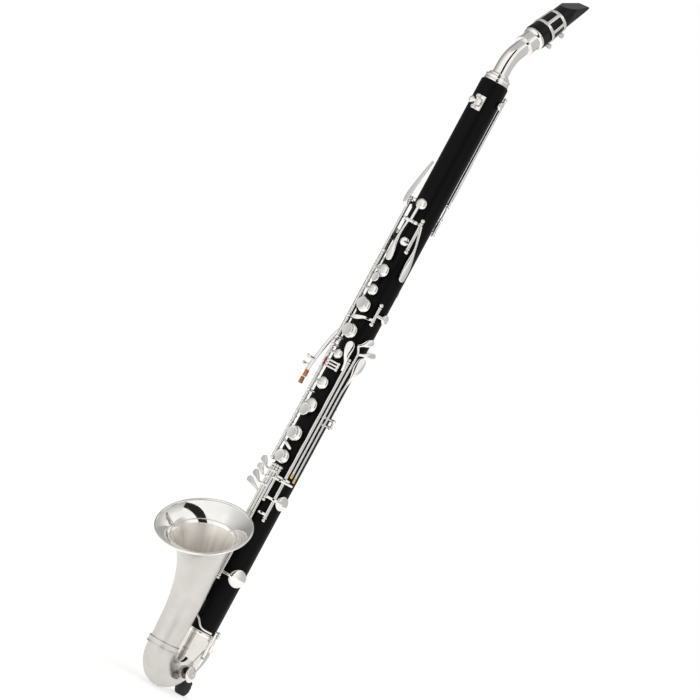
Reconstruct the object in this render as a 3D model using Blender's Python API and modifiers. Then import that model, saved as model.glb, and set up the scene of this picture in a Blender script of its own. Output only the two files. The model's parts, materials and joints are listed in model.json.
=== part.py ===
"""A low clarinet with a one-piece black body, a bent neck, an upturned metal bell and a floor peg.

Lengths are metres and angles are degrees. Heights are measured along the body from its lower end.
A bearing is the angle round the body from its front, positive towards the player's left, and a
reach is the distance from the body's axis. Every key is drawn closed, with its pad on its tone
hole, and a key that stands open at rest is then turned about its hinge by its opening angle.
"""

import math
from collections import namedtuple

import bmesh
import bpy
from mathutils import Matrix, Vector

# Clearances, and the angle up to which faces count as one plane
FIT = 0.0003
FLAT = math.radians(0.05)

# Body
BODY_RADIUS = 0.018
BODY_LENGTH = 0.760
BODY_EDGE = 0.004
BORE_RADIUS = 0.0118
TENON_RADIUS = 0.0166
TENON_LENGTH = 0.018
SEAT_RISE = 0.001

# Top ring and neck
RING_RADIUS = 0.0163
RING_HEIGHT = 0.008
NECK_RADIUS = 0.0102
NECK_BORE = 0.0068
NECK_TENON_LENGTH = 0.018
NECK_COLLAR_HEIGHT = 0.0042
NECK_STRAIGHT = 0.0128
NECK_BEND_RADIUS = 0.044
NECK_ANGLE = 37.0
NECK_LEAD = 0.0125
SLEEVE_LENGTH = 0.0215
SLEEVE_RADIUS = 0.0128
SLEEVE_END_RADIUS = 0.0152
CORK_CORE_RADIUS = 0.0082
CORK_RADIUS = 0.0100
CORK_LENGTH = 0.017

# Mouthpiece, reed and ligature
SHANK_RADIUS = 0.0162
WAIST_RADIUS = 0.0140
BEAK_RADIUS = 0.0130
MOUTHPIECE_LENGTH = 0.093
BEAK_START = 0.054
CHAMBER_RADIUS = 0.0060
TABLE_REACH = 0.0100
TABLE_START = 0.024
TIP_THICKNESS = 0.0022
TIP_WIDTH = 0.0160
REED_WIDTH = 0.0120
REED_THICKNESS = 0.0024
REED_TIP_THICKNESS = 0.0004
BAND_WIDTH = 0.0042
BAND_THICKNESS = 0.0009
BAND_LOW = 0.016
BAND_HIGH = 0.040
LUG_WIDTH = 0.0070
SCREW_RADIUS = 0.0010
SCREW_HEAD_RADIUS = 0.0036
SCREW_HEAD_LENGTH = 0.0050

# Bow, bell and their joint ring
BOW_RADIUS = 0.0183
BOW_WALL = 0.0013
BOW_STRAIGHT = 0.0357
BOW_BEND_RADIUS = 0.029
BOW_RISE = 0.0027
BELL_STRAIGHT = 0.0325
BELL_BEND_RADIUS = 0.188
BELL_ANGLE = 39.0
BELL_MOUTH_RADIUS = 0.0590
BELL_WALL = 0.0012
BELL_FLARE = 0.88
RIM_RADIUS = 0.0016
JOINT_RING_HEIGHT = 0.009
JOINT_RING_WALL = 0.0009

# Floor peg
PEG_RADIUS = 0.0040
PEG_TUBE_RADIUS = 0.0060
PEG_TUBE_LENGTH = 0.028
PEG_TUBE_TOP = -0.006
PEG_TOP = 0.028
PEG_FOOT_DROP = 0.084
TIP_RADIUS = 0.0095
TIP_HEIGHT = 0.020
TIP_FLAT = 0.0060
PEG_SCREW_RADIUS = 0.0017
PEG_SCREW_HEAD = 0.0050
PEG_SCREW_HEIGHT = -0.020

# Key work
ROD_RADIUS = 0.0010
TUBE_RADIUS = 0.0021
TUBE_BORE = 0.00142
BALL_RADIUS = 0.0027
STEM_RADIUS = 0.0017
HINGE_RISE = 0.0046
CUP_HEIGHT = 0.0048
CUP_WALL = 0.0034
PAD_INSET = 0.0007
HOLE_INSET = 0.0042
ARM_WIDTH = 0.0034
ARM_THICKNESS = 0.0020
TOUCH_THICKNESS = 0.0016
SADDLE_WIDTH = 0.0044
SADDLE_RISE = 0.0022
SADDLE_MARGIN = 5.0

# Facets
ROUND = 24
PIPE_SIDES = 18
SEAT_SIDES = 10
CUP_SIDES = 12
TUBE_SIDES = 6
ROD_SIDES = 6

UP = Vector((0, 0, 1))
PEG_BACK = BOW_RADIUS + FIT + PEG_TUBE_RADIUS
SEAT_REACH = BODY_RADIUS + SEAT_RISE
HINGE_REACH = BODY_RADIUS + HINGE_RISE

tone_holes = []


# Places

def outward(bearing):
    angle = math.radians(bearing)
    return Vector((math.sin(angle), -math.cos(angle), 0))


def sideways(bearing):
    angle = math.radians(bearing)
    return Vector((math.cos(angle), math.sin(angle), 0))


def at(bearing, reach, height):
    return outward(bearing) * reach + UP * height


def facing(bearing, reach, height):
    """A frame whose third axis points out of the body at a bearing, with its second axis up."""
    axes = Matrix((sideways(bearing), UP, outward(bearing))).transposed()
    return Matrix.Translation(at(bearing, reach, height)) @ axes.to_4x4()


# Solids

def clear_scene():
    for item in list(bpy.data.objects):
        bpy.data.objects.remove(item, do_unlink=True)


def evaluated(item):
    """The mesh that an object's curve or modifiers make, with the object then removed."""
    bpy.context.scene.collection.objects.link(item)
    graph = bpy.context.evaluated_depsgraph_get()
    mesh = bpy.data.meshes.new_from_object(item.evaluated_get(graph))
    bpy.data.objects.remove(item, do_unlink=True)
    return mesh


def finished(shape, weld=False):
    if weld:
        bmesh.ops.remove_doubles(shape, verts=shape.verts, dist=1e-6)
    mesh = bpy.data.meshes.new("solid")
    shape.to_mesh(mesh)
    shape.free()
    return mesh


def rod(start, end, radius, sides=ROD_SIDES, end_radius=None):
    run = end - start
    turn = run.to_track_quat("Z", "Y").to_matrix().to_4x4()
    place = Matrix.Translation((start + end) / 2) @ turn
    shape = bmesh.new()
    last = radius if end_radius is None else end_radius
    bmesh.ops.create_cone(
        shape, cap_ends=True, segments=sides, radius1=radius, radius2=last, depth=run.length, matrix=place
    )
    return finished(shape)


def ball(centre, radius):
    shape = bmesh.new()
    bmesh.ops.create_uvsphere(
        shape, u_segments=6, v_segments=4, radius=radius, matrix=Matrix.Translation(centre)
    )
    return finished(shape)


def bar(start, end, width, thickness, out):
    along = (end - start).normalized()
    side = out.cross(along).normalized()
    axes = Matrix((along, side, along.cross(side))).transposed().to_4x4()
    size = Matrix.Diagonal(((end - start).length, width, thickness, 1))
    shape = bmesh.new()
    bmesh.ops.create_cube(shape, size=1, matrix=Matrix.Translation((start + end) / 2) @ axes @ size)
    return finished(shape)


def turned(profile, sides, place=Matrix(), closed=False):
    """A profile of (radius, height) points, top to bottom on its outer side, turned about Z."""
    mesh = bpy.data.meshes.new("profile")
    edges = [(i, i + 1) for i in range(len(profile) - 1)]
    if closed:
        edges.append((len(profile) - 1, 0))
    mesh.from_pydata([(radius, 0, height) for radius, height in profile], edges, [])
    item = bpy.data.objects.new("profile", mesh)
    screw = item.modifiers.new("Turn", "SCREW")
    screw.steps = sides
    screw.render_steps = sides
    screw.use_merge_vertices = True
    screw.merge_threshold = 1e-6
    solid = evaluated(item)
    solid.transform(place)
    return solid


def ring(inner, outer, low, high, sides, place=Matrix()):
    corners = ((outer, high), (outer, low), (inner, low), (inner, high))
    return turned(corners, sides, place, closed=True)


def welded_curve(data):
    mesh = evaluated(bpy.data.objects.new("curve", data))
    shape = bmesh.new()
    shape.from_mesh(mesh)
    return finished(shape, weld=True)


def swept(points, radius, sides):
    """A round bar of even radius along a run of points."""
    data = bpy.data.curves.new("run", "CURVE")
    data.dimensions = "3D"
    data.bevel_depth = radius
    data.bevel_resolution = (sides - 4) // 2
    data.use_fill_caps = True
    spline = data.splines.new("POLY")
    spline.points.add(len(points) - 1)
    for knot, point in zip(spline.points, points):
        knot.co = (*point, 1)
    return welded_curve(data)


def plate(outline, thickness, place):
    """A flat outline in a frame's first two axes, thick along its third."""
    data = bpy.data.curves.new("outline", "CURVE")
    data.dimensions = "2D"
    data.fill_mode = "BOTH"
    data.extrude = thickness / 2
    spline = data.splines.new("POLY")
    spline.points.add(len(outline) - 1)
    for knot, (x, y) in zip(spline.points, outline):
        knot.co = (x, y, 0, 1)
    spline.use_cyclic_u = True
    solid = welded_curve(data)
    solid.transform(place)
    return solid


def leaf(root, tip, root_width, tip_width, thickness, out):
    """A finger touch that widens from its root to a rounded tip."""
    along = (tip - root).normalized()
    side = out.cross(along).normalized()
    axes = Matrix((along, side, along.cross(side))).transposed().to_4x4()
    round_end = tip_width / 2
    reach = (tip - root).length - round_end
    outline = [(0, -root_width / 2)]
    for step in range(7):
        angle = math.pi * (step / 6 - 0.5)
        outline.append((reach + round_end * math.cos(angle), round_end * math.sin(angle)))
    outline.append((0, root_width / 2))
    return plate(outline, thickness, Matrix.Translation(root) @ axes)


def combined(base, tool, operation, solver):
    body = bpy.data.objects.new("base", base)
    other = bpy.data.objects.new("tool", tool)
    bpy.context.scene.collection.objects.link(other)
    step = body.modifiers.new("Combine", "BOOLEAN")
    step.operation = operation
    step.solver = solver
    step.object = other
    mesh = evaluated(body)
    bpy.data.objects.remove(other, do_unlink=True)
    return mesh


def fused(solids, cuts=(), solver="EXACT"):
    """One mesh: the solids joined, the cuts taken away, and faces in one plane made one face."""
    mesh = solids[0]
    for solid in solids[1:]:
        mesh = combined(mesh, solid, "UNION", solver)
    for cut in cuts:
        mesh = combined(mesh, cut, "DIFFERENCE", solver)
    shape = bmesh.new()
    shape.from_mesh(mesh)
    bmesh.ops.dissolve_limit(shape, angle_limit=FLAT, verts=shape.verts, edges=shape.edges)
    return finished(shape)


# Finishes

Finish = namedtuple("Finish", "colour metallic roughness")
FINISHES = {
    "black_body": Finish((0.012, 0.012, 0.013), 0.0, 0.35),
    "key_silver": Finish((0.86, 0.86, 0.86), 1.0, 0.14),
    "bell_silver": Finish((0.83, 0.82, 0.80), 1.0, 0.28),
    "steel_rod": Finish((0.70, 0.70, 0.70), 1.0, 0.20),
    "black_ebonite": Finish((0.010, 0.010, 0.011), 0.0, 0.12),
    "cane": Finish((0.78, 0.62, 0.36), 0.0, 0.55),
    "cork": Finish((0.55, 0.27, 0.12), 0.0, 0.80),
    "rubber": Finish((0.015, 0.015, 0.015), 0.0, 0.60),
    "grey_felt": Finish((0.35, 0.35, 0.34), 0.0, 0.95),
}


def finish_material(name):
    found = bpy.data.materials.get(name)
    if found:
        return found
    look = FINISHES[name]
    made = bpy.data.materials.new(name)
    made.use_nodes = True
    shader = made.node_tree.nodes["Principled BSDF"]
    shader.inputs["Base Color"].default_value = (*look.colour, 1)
    shader.inputs["Metallic"].default_value = look.metallic
    shader.inputs["Roughness"].default_value = look.roughness
    return made


def piece(name, mesh, finish, pivot=Vector(), axis=UP, opened=0.0):
    """A named piece with its origin on its pivot, turned about its axis from its closed pose."""
    mesh.name = name
    mesh.transform(Matrix.Translation(-pivot))
    mesh.materials.clear()
    mesh.materials.append(finish_material(finish))
    mesh.shade_smooth()
    mesh.set_sharp_from_angle(angle=math.radians(35))
    item = bpy.data.objects.new(name, mesh)
    item.parent = stand
    item.location = pivot
    item.rotation_mode = "AXIS_ANGLE"
    item.rotation_axis_angle = (math.radians(opened), *axis)
    instrument.objects.link(item)
    return item


# Body, bow, bell and peg

def make_body():
    """The black tube with its lower tenon, raised tone-hole seats and the holes themselves."""
    edge = [(BODY_RADIUS - BODY_EDGE * (1 - math.sin(a)), BODY_LENGTH - BODY_EDGE * (1 - math.cos(a)))
            for a in (0, math.pi / 6, math.pi / 3, math.pi / 2)]
    profile = edge + [
        (BODY_RADIUS, 0),
        (TENON_RADIUS, 0),
        (TENON_RADIUS, -TENON_LENGTH),
        (BORE_RADIUS, -TENON_LENGTH),
        (BORE_RADIUS, BODY_LENGTH),
    ]
    solids = [turned(profile, ROUND, closed=True)]
    cuts = []
    for bearing, height, seat in tone_holes:
        inside = (BORE_RADIUS + BODY_RADIUS) / 2
        solids.append(rod(at(bearing, inside, height), at(bearing, SEAT_REACH, height), seat, SEAT_SIDES))
        outer = SEAT_REACH + SEAT_RISE
        cuts.append(rod(at(bearing, BORE_RADIUS / 2, height), at(bearing, outer, height),
                        seat - HOLE_INSET / 2, ROD_SIDES))
    piece("body_tube", fused(solids, cuts), "black_body")


def bow_point(angle, reach=BOW_BEND_RADIUS):
    """A point of the bow's bend, in the plane of the body and the bell, by its angle from the body."""
    turn = math.radians(angle)
    forward = BOW_BEND_RADIUS - reach * math.cos(turn)
    return Vector((0, -forward, -BOW_STRAIGHT - reach * math.sin(turn)))


def bow_run(start, end):
    bend = [bow_point(180 * step / 9) for step in range(10)]
    return [UP * start] + bend + [bow_point(180) + UP * end]


EB_ANGLE = 48.0
EB_CUP_RADIUS = 0.0102
EB_SEAT_REACH = BOW_RADIUS + 0.0022
EB_TILT = 18.0
BOW_SIDE = Vector((1, 0, 0))
EB_INWARD = (bow_point(EB_ANGLE, 0) - bow_point(EB_ANGLE)).normalized()
EB_OUT = BOW_SIDE * math.cos(math.radians(EB_TILT)) + EB_INWARD * math.sin(math.radians(EB_TILT))


def make_bow():
    """The U-shaped tube under the body, with the seat of the lowest tone hole on its side."""
    centre = bow_point(EB_ANGLE)
    seat = EB_CUP_RADIUS - PAD_INSET * 2
    solids = [
        swept(bow_run(-FIT, BOW_RISE - FIT), BOW_RADIUS, ROUND - 2),
        rod(centre + EB_OUT * BOW_RADIUS * 0.85, centre + EB_OUT * EB_SEAT_REACH, seat, CUP_SIDES),
    ]
    cuts = [
        swept(bow_run(BOW_WALL, BOW_RISE + BOW_WALL), BOW_RADIUS - BOW_WALL, PIPE_SIDES),
        rod(centre, centre + EB_OUT * EB_SEAT_REACH * 1.5, seat - HOLE_INSET / 2, ROD_SIDES),
    ]
    piece("bow", fused(solids, cuts, "MANIFOLD"), "bell_silver")


BELL_FOOT = bow_point(180) + UP * BOW_RISE
BELL_RUN = BELL_STRAIGHT + BELL_BEND_RADIUS * math.radians(BELL_ANGLE)


def bell_frame(distance):
    """The frame of a bell section, its third axis along the bell's bent centre line."""
    curved = max(0.0, distance - BELL_STRAIGHT)
    angle = curved / BELL_BEND_RADIUS
    forward = BELL_BEND_RADIUS * (1 - math.cos(angle))
    rise = min(distance, BELL_STRAIGHT) + BELL_BEND_RADIUS * math.sin(angle)
    return Matrix.Translation(BELL_FOOT + Vector((0, -forward, rise))) @ Matrix.Rotation(angle, 4, "X")


def bell_radius(distance):
    """Outer radius of the bell, a flare that opens faster and faster towards the mouth."""
    share = distance / BELL_RUN
    growth = (1 / (1 - BELL_FLARE * share) - 1) / (1 / (1 - BELL_FLARE) - 1)
    return BOW_RADIUS + (BELL_MOUTH_RADIUS - BOW_RADIUS) * growth


def make_bell():
    """A loft of round sections along the bell's centre line, with a wall and a rolled rim."""
    shape = bmesh.new()
    sections = [BELL_RUN * share for share in (0, 0.2, 0.38, 0.52, 0.64, 0.74, 0.82, 0.89, 0.95, 1)]
    walls = [(place, bell_radius(place)) for place in sections]
    rim = [(BELL_RUN + RIM_RADIUS, BELL_MOUTH_RADIUS + RIM_RADIUS)]
    inner = [(place, bell_radius(place) - BELL_WALL) for place in reversed(sections)]
    inner[0] = (BELL_RUN + RIM_RADIUS, BELL_MOUTH_RADIUS - BELL_WALL)
    loops = []
    for place, radius in walls + rim + inner:
        frame = bell_frame(place)
        loop = []
        for side in range(ROUND):
            angle = 2 * math.pi * side / ROUND
            point = Vector((radius * math.cos(angle), radius * math.sin(angle), 0))
            loop.append(shape.verts.new(frame @ point))
        loops.append(loop)
    for first, second in zip(loops, loops[1:] + loops[:1]):
        for side in range(ROUND):
            after = (side + 1) % ROUND
            shape.faces.new((first[side], first[after], second[after], second[side]))
    mesh = finished(shape)
    mesh.transform(Matrix.Translation(UP * FIT))
    piece("bell", mesh, "bell_silver")


def make_joint_ring():
    """The beaded ring over the joint of the bow and the bell."""
    inner = BOW_RADIUS + FIT + 0.0004
    outer = inner + JOINT_RING_WALL
    half = JOINT_RING_HEIGHT / 2
    bead = JOINT_RING_WALL
    profile = [
        (inner, half), (outer + bead, half), (outer + bead, half - 2 * bead), (outer, half - 3 * bead),
        (outer, 3 * bead - half), (outer + bead, 2 * bead - half), (outer + bead, -half), (inner, -half),
    ]
    piece("bell_ring", turned(profile, ROUND, Matrix.Translation(BELL_FOOT), closed=True), "bell_silver")


def make_peg():
    """The floor peg, its rubber tip, the tube that holds it behind the bow, and its clamp screw."""
    back = at(180, PEG_BACK, 0)
    low = PEG_TUBE_TOP - PEG_TUBE_LENGTH
    holder = [ring(PEG_RADIUS + FIT, PEG_TUBE_RADIUS, low, PEG_TUBE_TOP, 16, Matrix.Translation(back))]
    boss_end = PEG_BACK + PEG_TUBE_RADIUS + 0.003
    screw_root = at(180, PEG_BACK + PEG_RADIUS + 2 * FIT, PEG_SCREW_HEIGHT)
    boss = rod(at(180, PEG_BACK + PEG_TUBE_RADIUS - 0.001, PEG_SCREW_HEIGHT),
               at(180, boss_end, PEG_SCREW_HEIGHT), PEG_SCREW_RADIUS * 2, TUBE_SIDES)
    drill = rod(at(180, PEG_BACK, PEG_SCREW_HEIGHT), at(180, boss_end * 1.2, PEG_SCREW_HEIGHT),
                PEG_SCREW_RADIUS + FIT * 1.4, TUBE_SIDES)
    piece("peg_holder", fused(holder + [boss], [drill]), "key_silver")
    head = boss_end + FIT
    screw = [
        rod(screw_root, at(180, head + 0.001, PEG_SCREW_HEIGHT), PEG_SCREW_RADIUS, ROD_SIDES),
        rod(at(180, head, PEG_SCREW_HEIGHT), at(180, head + 0.005, PEG_SCREW_HEIGHT), PEG_SCREW_HEAD, 12),
    ]
    piece("peg_screw", fused(screw), "key_silver", pivot=screw_root, axis=outward(180))
    shaft_low = -PEG_FOOT_DROP + TIP_HEIGHT / 4
    shaft = rod(back + UP * shaft_low, back + UP * PEG_TOP, PEG_RADIUS, 12)
    piece("peg", shaft, "steel_rod", pivot=back)
    foot = -PEG_FOOT_DROP
    bore = PEG_RADIUS + FIT
    profile = [
        (bore, foot + TIP_HEIGHT), (TIP_RADIUS * 0.8, foot + TIP_HEIGHT),
        (TIP_RADIUS, foot + TIP_HEIGHT * 0.8), (TIP_RADIUS, foot + TIP_HEIGHT * 0.35),
        ((TIP_RADIUS + TIP_FLAT) / 2, foot + TIP_HEIGHT * 0.1), (TIP_FLAT, foot), (0, foot),
        (0, shaft_low - FIT), (bore, shaft_low - FIT),
    ]
    piece("peg_tip", turned(profile, 20, Matrix.Translation(back), closed=True), "rubber", pivot=back)


# Neck, mouthpiece, reed and ligature

NECK_FOOT = BODY_LENGTH + RING_HEIGHT + FIT


def neck_run(low, high):
    """The neck's centre line, from a height inside the body to a distance past the bend."""
    top = NECK_FOOT + NECK_STRAIGHT
    points = [UP * low]
    for step in range(7):
        angle = math.radians(NECK_ANGLE * step / 6)
        back = NECK_BEND_RADIUS * (1 - math.cos(angle))
        points.append(Vector((0, back, top + NECK_BEND_RADIUS * math.sin(angle))))
    lean = Vector((0, math.sin(math.radians(NECK_ANGLE)), math.cos(math.radians(NECK_ANGLE))))
    points.append(points[-1] + lean * high)
    return points


NECK_REACH = NECK_LEAD + SLEEVE_LENGTH
HEAD = Matrix.Translation(neck_run(0, NECK_REACH)[-1]) @ Matrix.Rotation(-math.radians(NECK_ANGLE), 4, "X")


def make_neck():
    """The top ring on the body, the bent neck with its tenon and sleeve, and the cork on its end."""
    ring_low = BODY_LENGTH + FIT
    half = RING_HEIGHT / 2
    profile = [
        (BORE_RADIUS, ring_low + RING_HEIGHT - FIT), (RING_RADIUS - 0.001, ring_low + RING_HEIGHT - FIT),
        (RING_RADIUS, ring_low + RING_HEIGHT - 0.0015), (RING_RADIUS - 0.0007, ring_low + half),
        (RING_RADIUS, ring_low + 0.0015), (RING_RADIUS, ring_low), (BORE_RADIUS, ring_low),
    ]
    piece("neck_ring", turned(profile, ROUND, closed=True), "key_silver")
    tenon = BORE_RADIUS - FIT * 1.4
    tenon_low = BODY_LENGTH - NECK_TENON_LENGTH
    collar = NECK_RADIUS + 0.0036
    foot = [
        (0, NECK_FOOT + NECK_COLLAR_HEIGHT), (NECK_RADIUS + 0.0002, NECK_FOOT + NECK_COLLAR_HEIGHT),
        (collar, NECK_FOOT + 0.0012), (collar, NECK_FOOT), (tenon, NECK_FOOT), (tenon, tenon_low),
        (0, tenon_low),
    ]
    sleeve = [
        (0, -FIT), (SLEEVE_END_RADIUS, -FIT), (SLEEVE_END_RADIUS, -0.0036), (SLEEVE_RADIUS, -0.0060),
        (SLEEVE_RADIUS, -SLEEVE_LENGTH + 0.0030), (SLEEVE_RADIUS + 0.0008, -SLEEVE_LENGTH + 0.0022),
        (SLEEVE_RADIUS + 0.0008, -SLEEVE_LENGTH), (0, -SLEEVE_LENGTH),
    ]
    solids = [
        swept(neck_run(NECK_FOOT + 0.001, NECK_REACH - 0.004), NECK_RADIUS, PIPE_SIDES),
        turned(foot, PIPE_SIDES),
        turned(sleeve, PIPE_SIDES, HEAD),
        rod(HEAD @ Vector((0, 0, -0.010)), HEAD @ Vector((0, 0, CORK_LENGTH)), CORK_CORE_RADIUS, 16),
    ]
    bore = swept(neck_run(tenon_low - 0.002, NECK_REACH + CORK_LENGTH + 0.002), NECK_BORE, 10)
    piece("neck", fused(solids, [bore]), "bell_silver")
    piece("neck_cork", ring(CORK_CORE_RADIUS + FIT, CORK_RADIUS, FIT, CORK_LENGTH, 16, HEAD), "cork")


def in_head(x, y, z):
    """A point in the mouthpiece's frame: across, towards the reed, and along from the shank end."""
    return HEAD @ Vector((x, y, z))


def mouthpiece_radius(along):
    if along < BAND_HIGH:
        return SHANK_RADIUS + (WAIST_RADIUS - SHANK_RADIUS) * along / BAND_HIGH
    return WAIST_RADIUS + (BEAK_RADIUS - WAIST_RADIUS) * (along - BAND_HIGH) / (MOUTHPIECE_LENGTH - BAND_HIGH)


def planed_off(root, tip, away, size):
    """A block that planes the mouthpiece down to the slope from root to tip."""
    slope = (tip - root).normalized()
    above = (away - slope * away.dot(slope)).normalized()
    lift = above * size / 2
    block = bar(root - slope * size + lift, tip + slope * size + lift, size, size, above)
    block.transform(HEAD)
    return block


def make_mouthpiece():
    """A turned blank with its socket and chamber, its beak, and the flat table under the reed."""
    stops = (MOUTHPIECE_LENGTH, BEAK_START, BAND_HIGH, BAND_LOW, 0)
    profile = [(0, MOUTHPIECE_LENGTH)] + [(mouthpiece_radius(stop), stop) for stop in stops] + [(0, 0)]
    tip = Vector((0, TABLE_REACH - TIP_THICKNESS, MOUTHPIECE_LENGTH))
    root = Vector((0, -mouthpiece_radius(BEAK_START), BEAK_START))
    size = 4 * SHANK_RADIUS
    beak = [planed_off(root, tip, Vector((0, -1, 0)), size)]
    for side in (-1, 1):
        cheek = Vector((side * mouthpiece_radius(BEAK_START), 0, BEAK_START))
        corner = Vector((side * TIP_WIDTH / 2, 0, MOUTHPIECE_LENGTH))
        beak.append(planed_off(cheek, corner, Vector((side, 0, 0)), size))
    table_middle = Vector((0, TABLE_REACH + size / 2, TABLE_START + MOUTHPIECE_LENGTH / 2))
    reach = Vector((0, 0, MOUTHPIECE_LENGTH / 2))
    table = bar(table_middle - reach, table_middle + reach, size, size, Vector((0, 1, 0)))
    table.transform(HEAD)
    socket = rod(in_head(0, 0, -0.002), in_head(0, 0, CORK_LENGTH + 0.003), CORK_RADIUS + FIT * 1.4, 16)
    chamber = rod(in_head(0, 0, 0.005), in_head(0, 0.002, BEAK_START), CHAMBER_RADIUS, 10)
    window_root = in_head(0, TABLE_REACH - 0.003, BEAK_START - 0.010)
    window = bar(window_root, in_head(0, TABLE_REACH + 0.002, MOUTHPIECE_LENGTH - 0.008),
                 REED_WIDTH * 0.7, 0.008, HEAD.to_3x3() @ Vector((0, 1, 0)))
    blank = turned(profile, 24, HEAD)
    piece("mouthpiece", fused([blank], beak + [table, socket, chamber, window]), "black_ebonite",
          pivot=in_head(0, 0, 0), axis=HEAD.to_3x3() @ UP)
    side = [
        (0, 0), (MOUTHPIECE_LENGTH - TABLE_START, 0), (MOUTHPIECE_LENGTH - TABLE_START, REED_TIP_THICKNESS),
        (BEAK_START - TABLE_START, REED_THICKNESS), (0, REED_THICKNESS),
    ]
    axes = Matrix(((0, 0, -1, 0), (0, 1, 0, 0), (1, 0, 0, 0), (0, 0, 0, 1)))
    place = HEAD @ Matrix.Translation((0, TABLE_REACH + FIT, TABLE_START + FIT)) @ axes
    piece("reed", plate(side, REED_WIDTH, place), "cane")


def band_inner(along):
    corner = math.hypot(REED_WIDTH / 2, TABLE_REACH + FIT + REED_THICKNESS)
    low = along - BAND_WIDTH / 2
    return max(corner if along > TABLE_START - BAND_WIDTH else 0, mouthpiece_radius(low)) + FIT


def make_ligature():
    """Two bands round mouthpiece and reed, tied by bridges, each with a lug and a thumbscrew."""
    solids = []
    cuts = []
    lug_reach = {}
    for along in (BAND_LOW, BAND_HIGH):
        inner = band_inner(along)
        low, high = along - BAND_WIDTH / 2, along + BAND_WIDTH / 2
        solids.append(ring(inner, inner + BAND_THICKNESS, low, high, PIPE_SIDES, HEAD))
        outer = inner + BAND_THICKNESS
        reach = outer + SCREW_HEAD_RADIUS + FIT
        lug_reach[along] = reach
        lug_root = Vector((0, outer - BAND_THICKNESS / 2, along))
        lug_end = Vector((0, reach + SCREW_RADIUS * 2, along))
        lug = bar(lug_root, lug_end, LUG_WIDTH, BAND_WIDTH * 0.9, UP)
        lug.transform(HEAD)
        solids.append(lug)
        cuts.append(rod(in_head(-LUG_WIDTH, reach, along), in_head(LUG_WIDTH, reach, along),
                        SCREW_RADIUS + FIT * 1.4, ROD_SIDES))
    for angle in (-150, -100, 100, 150, 35, -35):
        turn = math.radians(angle)
        ends = []
        for along in (BAND_LOW, BAND_HIGH):
            reach = band_inner(along) + BAND_THICKNESS / 2
            ends.append(Vector((math.sin(turn) * reach, math.cos(turn) * reach, along)))
        bridge = bar(ends[0], ends[1], BAND_WIDTH, BAND_THICKNESS * 0.8,
                     Vector((math.sin(turn), math.cos(turn), 0)))
        bridge.transform(HEAD)
        solids.append(bridge)
    piece("ligature", fused(solids, cuts), "key_silver")
    for label, along in (("lower", BAND_LOW), ("upper", BAND_HIGH)):
        reach = lug_reach[along]
        start = in_head(-LUG_WIDTH / 2 - 0.001, reach, along)
        neck_end = LUG_WIDTH / 2 + FIT
        head = in_head(neck_end, reach, along)
        end = in_head(neck_end + SCREW_HEAD_LENGTH, reach, along)
        solids = [
            rod(start, head.lerp(end, 0.2), SCREW_RADIUS, ROD_SIDES),
            rod(head, end, SCREW_HEAD_RADIUS, 10),
        ]
        piece("ligature_screw_" + label, fused(solids), "key_silver", pivot=start, axis=Vector((1, 0, 0)))


# Key work helpers

def post(bearing, reach, height, base=BODY_RADIUS, head=BALL_RADIUS):
    """A ball-headed post standing on the body, its hinge rod passing through the ball."""
    return [
        rod(at(bearing, base + FIT, height), at(bearing, reach, height), STEM_RADIUS),
        ball(at(bearing, reach, height), head),
    ]


def hinge_rod(bearing, reach, heights, base=BODY_RADIUS, head=BALL_RADIUS):
    """Posts in a line and the steel rod through their heads."""
    solids = [rod(at(bearing, reach, min(heights)), at(bearing, reach, max(heights)), ROD_RADIUS)]
    for height in heights:
        solids += post(bearing, reach, height, base, head)
    return solids


def saddle(first, last, height):
    """A curved foot plate that lies on the body under a row of posts."""
    start, end = first - SADDLE_MARGIN, last + SADDLE_MARGIN
    bearings = [start + (end - start) * step / 8 for step in range(9)]
    outline = [outward(bearing) * (BODY_RADIUS + FIT * 2) for bearing in bearings]
    outline += [outward(bearing) * (BODY_RADIUS + SADDLE_RISE) for bearing in reversed(bearings)]
    return plate([(point.x, point.y) for point in outline], SADDLE_WIDTH, Matrix.Translation(UP * height))


def trimmed(low, high, posts, head=BALL_RADIUS):
    """A hinge tube's ends, cleared of the posts' heads or of the next tube."""
    low_gap = head + FIT if low in posts else FIT / 2
    high_gap = head + FIT if high in posts else FIT / 2
    return low + low_gap, high - high_gap


def tube(bearing, reach, low, high, radius=TUBE_RADIUS):
    """A hinge tube along the body, and the bore that goes through it."""
    solid = rod(at(bearing, reach, low), at(bearing, reach, high), radius, TUBE_SIDES)
    bore = rod(at(bearing, reach, low - FIT), at(bearing, reach, high + FIT), TUBE_BORE, ROD_SIDES)
    return solid, bore


def cup_solid(radius, place):
    """A domed pad cup, its pad face at the frame's origin."""
    profile = [
        (0, CUP_HEIGHT), (radius * 0.6, CUP_HEIGHT - 0.0004), (radius, CUP_WALL - 0.0006),
        (radius, 0.0012), (radius - PAD_INSET, 0), (0, 0),
    ]
    return turned(profile, CUP_SIDES, place)


def cup(bearing, height, radius):
    """A pad cup closed on its own tone hole, which the body is given later."""
    tone_holes.append((bearing, height, radius - 2 * PAD_INSET))
    return cup_solid(radius, facing(bearing, SEAT_REACH + FIT, height))


def arm(start, bearing, height, drop=0.0014):
    """A flat arm from a hinge to the top of a closed cup."""
    return bar(start, at(bearing, SEAT_REACH + CUP_HEIGHT - drop, height), ARM_WIDTH, ARM_THICKNESS,
               outward(bearing))


def disc(bearing, reach, height, radius, thickness):
    return rod(at(bearing, reach - thickness, height), at(bearing, reach, height), radius, CUP_SIDES)


# The two finger stacks

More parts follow.
